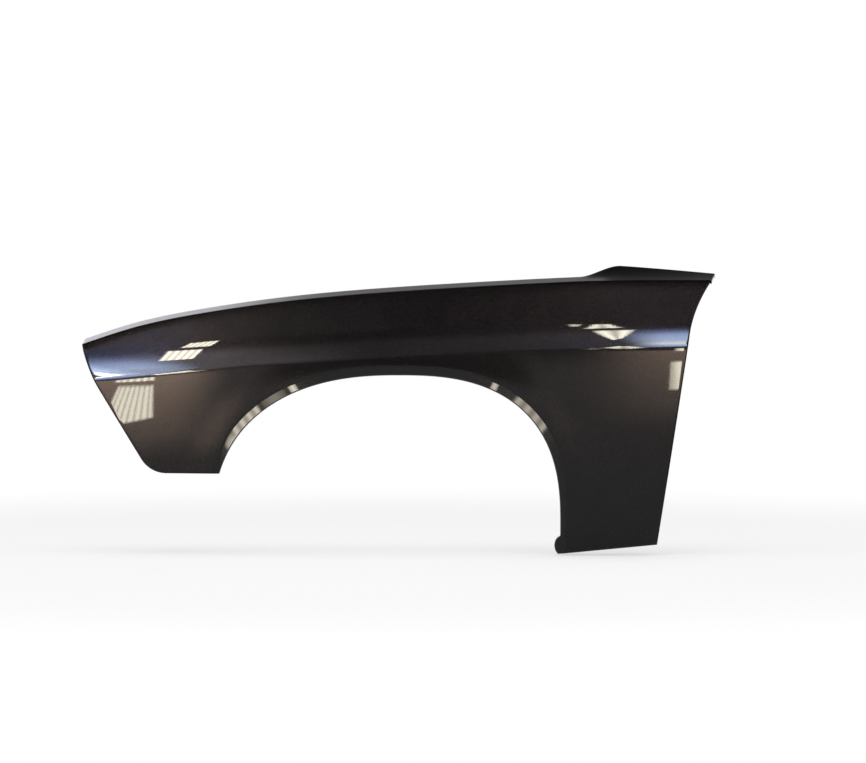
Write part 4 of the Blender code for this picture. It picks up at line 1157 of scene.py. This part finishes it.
# Floor and lamp
FLOOR_GAP = 0.002
FLOOR_HALF = 40.0
FLOOR_LIT_RADIUS = 2.5
FLOOR_WHITE_SHARE = 0.5
KEY_SIZE = (4.0, 3.0)
KEY_PLACE = (0, -0.6, 3.2)

# Everything hung from here on glows only in reflections and lights nothing: painted reflections and painted
# dark reflections for the clear coat.
# Reflections. Directions are an azimuth, from straight outboard towards the rear end, and an elevation,
# both in degrees. A pair of angles is a soft edge, from where it starts to where it is full.
PATCH_DEGREES = 1.0
CANOPY_DISTANCE = 8.0
CARD_DISTANCE = 1.5
FLAG_DISTANCE = 0.5
NOSE_POINT = Vector((-0.57, 0.0, -0.14))
TAIL_POINT = Vector((0.65, -0.06, -0.08))
COWL_POINT = Vector((0.66, -0.02, 0.06))

# Dark canopy, a painted reflection overhead: how low it hangs in front, beside and behind, and the painted
# hazy and blue highlights in it
CANOPY_REFLECTION_COLOUR = (0.08, 0.075, 0.09)
CANOPY_FRONT_LEVELS = (7.5, 4.5)
CANOPY_FRONT_TURN = (-4, 3)
CANOPY_BESIDE_LEVEL = -11
CANOPY_BESIDE_NOSE = (-46, -58)
CANOPY_BESIDE_TAIL = (20, 32)
CANOPY_BEHIND_LEVEL = 48
CANOPY_BEHIND = (110, 150)
CANOPY_SOFTNESS = 3
HAZE_ROUND = 0.5
HAZE_ROUND_EDGE = (100, 60)
HAZE_NOSE = 2.0
HAZE_NOSE_SIDES = ((-6, -24), (-62, -52))
HAZE_FOOT = (12, 26)
HAZE_HIGHLIGHT_TINT = (1.0, 0.92, 0.92)
BLUE_NOSE = 2.4
BLUE_NOSE_SIDES = ((-21, -30), (-62, -52))
BLUE_TOP = (30, 9)
BLUE_HIGHLIGHT_TINT = (0.21, 0.36, 1.0)

# Cool softboxes at the nose and the tail, painted reflections that light nothing, blue low down and white
# high up
BOX_LEVEL = 8
BOX_CLIMB = 17
BOX_LOW_TINT = (0.36, 0.50, 1.0)
BOX_HIGH_TINT = (0.56, 0.69, 1.0)
BOX_TINT_TURN = (14, 44)
BOX_WHITE_TINT = (0.94, 0.98, 1.0)
BOX_WHITE_TURN = (48, 62)
NOSE_BOX_SIDE = -38
NOSE_BOX_LEAN = 0.35
NOSE_BOX_LEAN_LEVEL = 20
NOSE_BOX_SOFTNESS = 1.5
NOSE_BOX_REAR_SIDE = (-18, -32)
NOSE_BOX_FOOT_LEVELS = (12, 5)
NOSE_BOX_FOOT_TURN = (-30, -38)
NOSE_BOX_FOOT_END = 34
NOSE_BOX_SHARES = (0.95, 1.6)
NOSE_BOX_SHARE_TURN = (-36, -43)
NOSE_BOX_DIMMING = 0.35
NOSE_BOX_DIM_TURN = (42, 54)
NOSE_BOX_WHITE_SHARE = 0.3
NOSE_BOX_HOT_SHARE = 3.6
NOSE_BOX_HOT_SIDE = (-43, -49)
NOSE_BOX_HOT_FOOT = (38, 50)
TAIL_BOX_SHARE = 1.05
TAIL_BOX_SIDES = ((-2, 5), (18, 13))
TAIL_BOX_FOOT = (13, 32)

# Strip light behind the nose, a painted highlight seen only in reflections, and the dark flags, painted dark
# reflections that keep the white floor and backdrop off the ends
STRIP_LIGHT_REFLECTION_COLOUR = (3.5, 3.5, 3.7)
STRIP_LIGHT_SIDES = ((158, 186), (220, 212))
STRIP_LIGHT_LEVELS = ((18, 26), (52, 46))
COWL_DARK_REFLECTION_COLOUR = (0.12, 0.115, 0.12)
COWL_FLAG_SIDES = ((204, 196),)
COWL_FLAG_LEVELS = ((0, 8),)
END_DARK_REFLECTION_COLOUR = (0.08, 0.08, 0.085)
NOSE_FLAG_SIDES = ((-62, -74),)
TAIL_FLAG_SIDES = ((30, 48),)
SHOULDER_DARK_REFLECTION_PAINT = (0.10, 0.095, 0.105, 1.0)
SHOULDER_FLAG_GAP = 0.030
SHOULDER_FLAG_RISES = (-0.006, 0.150)
SHOULDER_FLAG_COLUMNS = 80
SHOULDER_FLAG_OVERHANG = 0.10

# Warm cards low beside the nose and the tail, painted reflections that light nothing, brightest at their top
CARD_REFLECTION_TINT = (1.0, 0.69, 0.50)
CARD_BRIGHT_LEVEL = 6
CARD_FADE = 11
CARD_LEVELS = ((-16, -8), (7.5, 6))
LEFT_CARD_SIDES = ((-60, -50), (-4, -16))
RIGHT_CARD_SIDES = ((-6, 6), (50, 40))
RIGHT_CARD_SHARE = 0.7

# Small bright windows, painted reflections that light nothing: brightness, number of slats and corners from
# the lower left round
WINDOW_STEPS = 24
WINDOW_EDGE_SHARE = 0.08
SLAT_DEPTH = 0.55
WINDOW_REFLECTION_TINT = (1.0, 0.93, 0.76)
WINDOW_REFLECTIONS = {
    "nose_pane_low": (90, 5, ((-1.100, -1.147, 0.641), (-1.057, -1.338, 0.275), (-0.879, -1.377, 0.325),
                              (-0.936, -1.184, 0.674))),
    "nose_pane_high": (80, 5, ((-2.69, -5.41, 1.25), (-2.54, -5.54, 0.94), (-2.13, -5.67, 0.94),
                               (-2.29, -5.52, 1.36))),
    "nose_blind": (54, 8, ((-1.215, -1.171, -0.326), (-1.135, -1.179, -0.055), (-0.977, -1.229, -0.058),
                           (-0.965, -1.243, -0.267))),
    "nose_strip": (62, 6, ((-1.155, -1.171, -0.042), (-1.140, -1.173, -0.013), (-0.972, -1.224, -0.004),
                           (-0.974, -1.227, -0.037))),
    "tail_pane_small": (38, 1, ((0.678, -5.931, 1.176), (0.657, -5.970, 0.994), (0.747, -5.970, 0.995),
                                (0.727, -5.930, 1.140))),
    "tail_pane_high": (60, 2, ((0.729, -5.856, 1.462), (0.796, -5.970, 0.996), (0.886, -5.970, 0.996),
                               (0.948, -5.865, 1.376))),
    "tail_pane_low": (66, 2, ((0.603, -1.176, 0.925), (0.559, -1.491, 0.379), (0.695, -1.489, 0.376),
                              (0.635, -1.261, 0.823))),
    "rear_pane": (48, 1, ((0.745, -1.371, -0.200), (0.748, -1.363, -0.013), (0.800, -1.360, -0.010),
                          (0.830, -1.360, -0.200))),
    "rear_pane_small": (50, 1, ((0.758, -1.360, 0.045), (0.757, -1.345, 0.137), (0.800, -1.345, 0.140),
                                (0.815, -1.360, 0.045))),
    # The lip patches paint highlights on the rolled lip, seen only in its reflection.
    "front_lip": (30, 4, ((-0.226, -0.070, -0.379), (-0.241, -0.125, -0.362), (-0.201, -0.124, -0.321),
                          (-0.188, -0.067, -0.336))),
    "front_lip_dim": (10, 1, ((-0.184, -0.068, -0.333), (-0.199, -0.124, -0.319), (-0.163, -0.127, -0.293),
                             (-0.147, -0.071, -0.308))),
    "front_lip_spot": (38, 1, ((-0.145, -0.081, -0.303), (-0.155, -0.119, -0.293), (-0.142, -0.120, -0.285),
                               (-0.132, -0.083, -0.295))),
    "rear_lip": (21, 4, ((0.247, -0.083, -0.308), (0.260, -0.139, -0.293), (0.306, -0.142, -0.341),
                         (0.292, -0.086, -0.357))),
    "rear_lip_spot": (30, 1, ((0.218, -0.090, -0.289), (0.223, -0.128, -0.277), (0.233, -0.128, -0.283),
                              (0.228, -0.090, -0.294))),
}


def empty_tree(owner):
    """The emptied shader tree of a material or a world."""
    owner.use_nodes = True
    owner.node_tree.nodes.clear()
    return owner.node_tree


def patch_material():
    """Glows with the colour painted on the patch and lets through what its cover leaves free."""
    material = bpy.data.materials.new("painted_reflection_material")
    tree = empty_tree(material)
    painted = add_node(tree, "ShaderNodeAttribute", attribute_name="glow").outputs
    glow = add_node(tree, "ShaderNodeEmission", {"Color": painted["Color"], "Strength": 1.0}).outputs[0]
    clear = add_node(tree, "ShaderNodeBsdfTransparent").outputs[0]
    both = add_node(tree, "ShaderNodeMixShader", {0: painted["Alpha"], 1: clear, 2: glow})
    add_node(tree, "ShaderNodeOutputMaterial", {"Surface": both.outputs[0]})
    return material


def floor_material(colour):
    """Pale and lit round the panel, so that it takes the shadow, and plain white further out."""
    material = bpy.data.materials.new("studio_floor")
    tree = empty_tree(material)
    place = add_node(tree, "ShaderNodeTexCoord").outputs["Object"]
    away = add_node(tree, "ShaderNodeVectorMath", {0: place}, operation="LENGTH").outputs["Value"]
    far = add_node(tree, "ShaderNodeMapRange", {
        "Value": away, "From Min": FLOOR_LIT_RADIUS / 2, "From Max": FLOOR_LIT_RADIUS,
        "To Min": FLOOR_WHITE_SHARE, "To Max": 1.0,
    }, interpolation_type="SMOOTHSTEP").outputs[0]
    lit = add_node(tree, "ShaderNodeBsdfDiffuse", {"Color": (*colour, 1)}).outputs[0]
    glow = add_node(tree, "ShaderNodeEmission", {"Color": (1, 1, 1, 1), "Strength": 1.0}).outputs[0]
    both = add_node(tree, "ShaderNodeMixShader", {0: far, 1: lit, 2: glow})
    add_node(tree, "ShaderNodeOutputMaterial", {"Surface": both.outputs[0]})
    return material


class FENDER_OT_studio(bpy.types.Operator):
    """Lay the floor, hang the softboxes, which are painted reflections, and place the camera"""

    bl_idname = "fender.studio"
    bl_label = "Studio"

    def execute(self, context):
        scene = context.scene
        studio = scene.fender_studio
        lay_floor(studio)
        light_world(scene, studio)
        hang_key(studio)
        hang_reflections(studio, scene.fender_sizes)
        place_camera(scene, studio)
        scene.view_settings.view_transform = "Standard"
        return {"FINISHED"}


def new_stage(name, points, faces, material):
    """A mesh that belongs to the studio and not to the fender."""
    mesh = bpy.data.meshes.new(name)
    mesh.from_pydata(points, [], faces)
    mesh.materials.append(material)
    item = new_object(name, mesh)
    return item


def lay_floor(studio):
    """The pale floor, just under the panel's lowest edge."""
    level = CAD_LOW.z - FLOOR_GAP
    half = FLOOR_HALF
    corners = [(-half, -half, level), (half, -half, level), (half, half, level), (-half, half, level)]
    new_stage("studio_floor", corners, [(0, 1, 2, 3)], floor_material(studio.floor))


def light_world(scene, studio):
    """White behind the panel for the camera and for reflections, and an even fill for the rest."""
    world = bpy.data.worlds.new("studio_world")
    scene.world = world
    tree = empty_tree(world)
    path = add_node(tree, "ShaderNodeLightPath").outputs
    seen = add_node(tree, "ShaderNodeMath", {0: path["Is Camera Ray"], 1: path["Is Glossy Ray"]},
                    operation="MAXIMUM").outputs[0]
    seen = add_node(tree, "ShaderNodeMath", {0: seen, 1: path["Is Transmission Ray"]},
                    operation="MAXIMUM").outputs[0]
    strength = add_node(tree, "ShaderNodeMapRange", {"Value": seen, "To Min": studio.fill, "To Max": 1.0})
    back = add_node(tree, "ShaderNodeBackground", {"Color": (1, 1, 1, 1), "Strength": strength.outputs[0]})
    add_node(tree, "ShaderNodeOutputWorld", {"Surface": back.outputs[0]})


def hang_key(studio):
    """One large soft light overhead, which gives the floor its shadow."""
    data = bpy.data.lights.new("studio_key", "AREA")
    data.shape = "RECTANGLE"
    data.size, data.size_y = KEY_SIZE
    data.energy = studio.key
    key = new_object("studio_key", data)
    key.location = KEY_PLACE
    key.visible_camera = False
    key.visible_glossy = False


def direction(azimuth, elevation):
    """Unit vector for an azimuth from the front towards the rear end, and an elevation, in degrees."""
    a, e = math.radians(azimuth), math.radians(elevation)
    return Vector((math.cos(e) * math.sin(a), -math.cos(e) * math.cos(a), math.sin(e)))


def hang_painted(name, points, faces, paint, material):
    """A stage surface that only reflections see. paint has a colour and a cover for each point."""
    item = new_stage(name, points, faces, material)
    glow = item.data.color_attributes.new("glow", "FLOAT_COLOR", "POINT")
    glow.data.foreach_set("color", np.array(paint).ravel())
    item.visible_camera = False
    item.visible_diffuse = False
    item.visible_transmission = False
    item.visible_volume_scatter = False
    item.visible_shadow = False


def grid_faces(rows, columns):
    """Quads of a grid with so many points down and along."""
    return [
        (r * columns + c, r * columns + c + 1, (r + 1) * columns + c + 1, (r + 1) * columns + c)
        for r in range(rows - 1) for c in range(columns - 1)
    ]


def hang_patch(name, centre, distance, azimuths, elevations, glow, studio, material):
    """Part of a sphere round a point. glow gives the colour and cover in each direction."""
    rows, columns = (
        np.linspace(low, high, math.ceil((high - low) / PATCH_DEGREES) + 1)
        for low, high in (elevations, azimuths)
    )
    ways = [(a, e) for e in rows for a in columns]
    points = [centre + direction(a, e) * distance for a, e in ways]
    paint = [glow(studio, a, e) for a, e in ways]
    hang_painted(name, points, grid_faces(len(rows), len(columns)), paint, material)


def hang_window(name, brightness, slats, corners, material):
    """Painted reflection of a small warm window between four corners, with upright slats."""
    low_left, high_left, high_right, low_right = (Vector(corner) for corner in corners)
    shares = np.linspace(0, 1, WINDOW_STEPS + 1)
    points, paint = [], []
    for up in shares:
        for along in shares:
            points.append(low_left.lerp(low_right, along).lerp(high_left.lerp(high_right, along), up))
            slat = brightness * (1 - SLAT_DEPTH * (0.5 + 0.5 * math.cos(2 * math.pi * slats * along)))
            cover = smooth_step(0, WINDOW_EDGE_SHARE, min(up, 1 - up, along, 1 - along))
            paint.append((*(slat * tint for tint in WINDOW_REFLECTION_TINT), cover))
    hang_painted(name, points, grid_faces(len(shares), len(shares)), paint, material)


def hang_shoulder_dark_reflection(sizes, material):
    """A dark ribbon outboard of the shoulder, seen only in reflections: a painted dark reflection that keeps
    the softboxes off its rounding.
    """
    pressing = Pressing(sizes)
    origin = pressing.row_origin()
    points = []
    for rise in SHOULDER_FLAG_RISES:
        for x in np.linspace(-SHOULDER_FLAG_OVERHANG, LENGTH + SHOULDER_FLAG_OVERHANG, SHOULDER_FLAG_COLUMNS):
            y, z = pressing.sharp_shoulder(min(max(x, 0), LENGTH))
            points.append(Vector((x, y - SHOULDER_FLAG_GAP, z + rise)) - origin)
    pressing.mesh.free()
    faces = grid_faces(len(SHOULDER_FLAG_RISES), SHOULDER_FLAG_COLUMNS)
    hang_painted("shoulder_flag", points, faces, [SHOULDER_DARK_REFLECTION_PAINT] * len(points), material)


def within(edges, value):
    """1 past every soft edge and 0 short of any."""
    return math.prod(smooth_step(*edge, value) for edge in edges)


def canopy_reflection_glow(_, azimuth, elevation):
    """Painted reflection of a dark studio ceiling, with a painted hazy highlight over the nose and a painted
    blue highlight low beside it.
    """
    beside = smooth_step(*CANOPY_BESIDE_NOSE, azimuth) + smooth_step(*CANOPY_BESIDE_TAIL, azimuth)
    front = mix(*CANOPY_FRONT_LEVELS, smooth_step(*CANOPY_FRONT_TURN, azimuth))
    foot = mix(front, CANOPY_BESIDE_LEVEL, beside)
    foot = mix(foot, CANOPY_BEHIND_LEVEL, smooth_step(*CANOPY_BEHIND, abs(azimuth)))
    haze = HAZE_ROUND * smooth_step(*HAZE_ROUND_EDGE, abs(azimuth))
    haze += HAZE_NOSE * within(HAZE_NOSE_SIDES, azimuth)
    haze *= smooth_step(*HAZE_FOOT, elevation)
    blue = BLUE_NOSE * within(BLUE_NOSE_SIDES, azimuth) * smooth_step(*BLUE_TOP, elevation)
    glow = np.array(CANOPY_REFLECTION_COLOUR) + haze * np.array(HAZE_HIGHLIGHT_TINT) + blue * np.array(BLUE_HIGHLIGHT_TINT)
    return (*glow, smooth_step(foot - CANOPY_SOFTNESS, foot + CANOPY_SOFTNESS, elevation))


def softbox_glow(studio, elevation, share, white, cover):
    """Painted reflection of a softbox, which brightens as it rises."""
    strength = studio.softbox * share * max(1 - math.exp((BOX_LEVEL - elevation) / BOX_CLIMB), 0)
    cool = mix(np.array(BOX_LOW_TINT), np.array(BOX_HIGH_TINT), smooth_step(*BOX_TINT_TURN, elevation))
    return (*(strength * mix(cool, np.array(BOX_WHITE_TINT), white)), cover)


def nose_box_glow(studio, azimuth, elevation):
    """Painted reflection of the softbox at the nose, with a leaning side and a painted hot upper corner."""
    side = NOSE_BOX_SIDE - NOSE_BOX_LEAN * (elevation - NOSE_BOX_LEAN_LEVEL)
    hot = smooth_step(*NOSE_BOX_HOT_SIDE, azimuth) * smooth_step(*NOSE_BOX_HOT_FOOT, elevation)
    share = mix(*NOSE_BOX_SHARES, smooth_step(*NOSE_BOX_SHARE_TURN, azimuth))
    share *= 1 - NOSE_BOX_DIMMING * smooth_step(*NOSE_BOX_DIM_TURN, elevation)
    white = max(hot, NOSE_BOX_WHITE_SHARE * smooth_step(*BOX_WHITE_TURN, elevation))
    foot = mix(*NOSE_BOX_FOOT_LEVELS, smooth_step(*NOSE_BOX_FOOT_TURN, azimuth))
    cover = within(((side - NOSE_BOX_SOFTNESS, side + NOSE_BOX_SOFTNESS), NOSE_BOX_REAR_SIDE), azimuth)
    cover *= smooth_step(foot, NOSE_BOX_FOOT_END, elevation)
    return softbox_glow(studio, elevation, share + NOSE_BOX_HOT_SHARE * hot, white, cover)


# Painted reflection of the softbox at the tail.
def tail_box_glow(studio, azimuth, elevation):
    cover = within(TAIL_BOX_SIDES, azimuth) * smooth_step(*TAIL_BOX_FOOT, elevation)
    return softbox_glow(studio, elevation, TAIL_BOX_SHARE, smooth_step(*BOX_WHITE_TURN, elevation), cover)


def plain_glow(colour, sides, levels=()):
    """The same colour all over, within soft edges."""
    def glow(_, azimuth, elevation):
        return (*colour, within(sides, azimuth) * within(levels, elevation))

    return glow


def card_glow(share, sides):
    """Painted reflection of a warm card, brightest at its top and paler below."""
    def glow(studio, azimuth, elevation):
        strength = studio.card * share * math.exp((elevation - CARD_BRIGHT_LEVEL) / CARD_FADE)
        cover = within(sides, azimuth) * within(CARD_LEVELS, elevation)
        return (*(1 + strength * tint for tint in CARD_REFLECTION_TINT), cover)

    return glow


# Each patch: name, centre, distance, azimuths, elevations, and its colour and cover
PATCHES = (
    ("studio_canopy", Vector(), CANOPY_DISTANCE, (-180, 180), (-14, 90), canopy_reflection_glow),
    ("nose_softbox", NOSE_POINT, CARD_DISTANCE, (-62, -18), (5, 66), nose_box_glow),
    ("tail_softbox", TAIL_POINT, CARD_DISTANCE, (-2, 18), (13, 66), tail_box_glow),
    ("strip_light", NOSE_POINT, CARD_DISTANCE, (158, 220), (18, 52),
     plain_glow(STRIP_LIGHT_REFLECTION_COLOUR, STRIP_LIGHT_SIDES, STRIP_LIGHT_LEVELS)),
    ("cowl_flag", COWL_POINT, FLAG_DISTANCE, (80, 204), (0, 80),
     plain_glow(COWL_DARK_REFLECTION_COLOUR, COWL_FLAG_SIDES, COWL_FLAG_LEVELS)),
    ("nose_flag", NOSE_POINT, FLAG_DISTANCE, (-130, -62), (-55, 30),
     plain_glow(END_DARK_REFLECTION_COLOUR, NOSE_FLAG_SIDES)),
    ("tail_flag", TAIL_POINT, FLAG_DISTANCE, (30, 130), (-55, 30),
     plain_glow(END_DARK_REFLECTION_COLOUR, TAIL_FLAG_SIDES)),
    ("left_card", NOSE_POINT, CARD_DISTANCE, (-60, -4), (-16, 7.5), card_glow(1, LEFT_CARD_SIDES)),
    ("right_card", TAIL_POINT, CARD_DISTANCE, (-6, 50), (-16, 7.5),
     card_glow(RIGHT_CARD_SHARE, RIGHT_CARD_SIDES)),
)


def hang_reflections(studio, sizes):
    """Painted reflections that only the clear coat mirrors and that light nothing: a dark canopy, softboxes,
    flags, warm cards and small windows.
    """
    material = patch_material()
    for patch in PATCHES:
        hang_patch(*patch, studio, material)
    for name, (brightness, slats, corners) in WINDOW_REFLECTIONS.items():
        hang_window(name, brightness, slats, corners, material)
    hang_shoulder_dark_reflection(sizes, material)


def place_camera(scene, studio):
    """A long lens at the photograph's height angle, framed so that the panel falls where it does there."""
    width = PHOTO_WIDTH * PIXEL
    lens = SENSOR_WIDTH * studio.distance / width
    data = bpy.data.cameras.new("studio_camera")
    data.sensor_width = SENSOR_WIDTH * MM_PER_METRE
    data.lens = lens * MM_PER_METRE
    data.clip_end = CLIP_DISTANCES * studio.distance
    camera = new_object("studio_camera", data)
    scene.camera = camera
    centre_x = CAD_LOW.x + (PHOTO_WIDTH / 2 - LEFT_EDGE_PX) * PIXEL
    centre_z = CAD_LOW.z + (LOWEST_EDGE_PX - PHOTO_HEIGHT / 2) * PIXEL / math.cos(studio.elevation)
    target = Vector((centre_x, CAD_LOW.y, centre_z))
    back = Vector((0, -math.cos(studio.elevation), math.sin(studio.elevation)))
    camera.location = target + back * studio.distance
    camera.rotation_euler = (-back).to_track_quat("-Z", "Y").to_euler()


class FENDER_PT_sidebar(bpy.types.Panel):
    """The fender's sizes and colours, and the buttons that make it and its studio"""

    bl_idname = "FENDER_PT_sidebar"
    bl_label = "Fender"
    bl_space_type = "VIEW_3D"
    bl_region_type = "UI"
    bl_category = "Fender"

    def draw(self, context):
        for group, operator in (
            (context.scene.fender_sizes, FENDER_OT_panel), (context.scene.fender_paint, None),
            (context.scene.fender_studio, FENDER_OT_studio),
        ):
            for name in group.__annotations__:
                self.layout.prop(group, name)
            if operator:
                self.layout.operator(operator.bl_idname)


CLASSES = (FenderSizes, FenderPaint, FenderStudio, FENDER_OT_panel, FENDER_OT_studio, FENDER_PT_sidebar)


def register():
    for item in CLASSES:
        bpy.utils.register_class(item)
    bpy.types.Scene.fender_sizes = PointerProperty(type=FenderSizes)
    bpy.types.Scene.fender_paint = PointerProperty(type=FenderPaint)
    bpy.types.Scene.fender_studio = PointerProperty(type=FenderStudio)


def unregister():
    for name in ("fender_sizes", "fender_paint", "fender_studio"):
        delattr(bpy.types.Scene, name)
    for item in reversed(CLASSES):
        bpy.utils.unregister_class(item)


def main():
    register()
    bpy.ops.fender.panel()
    bpy.ops.fender.studio()


if __name__ == "__main__":
    main()
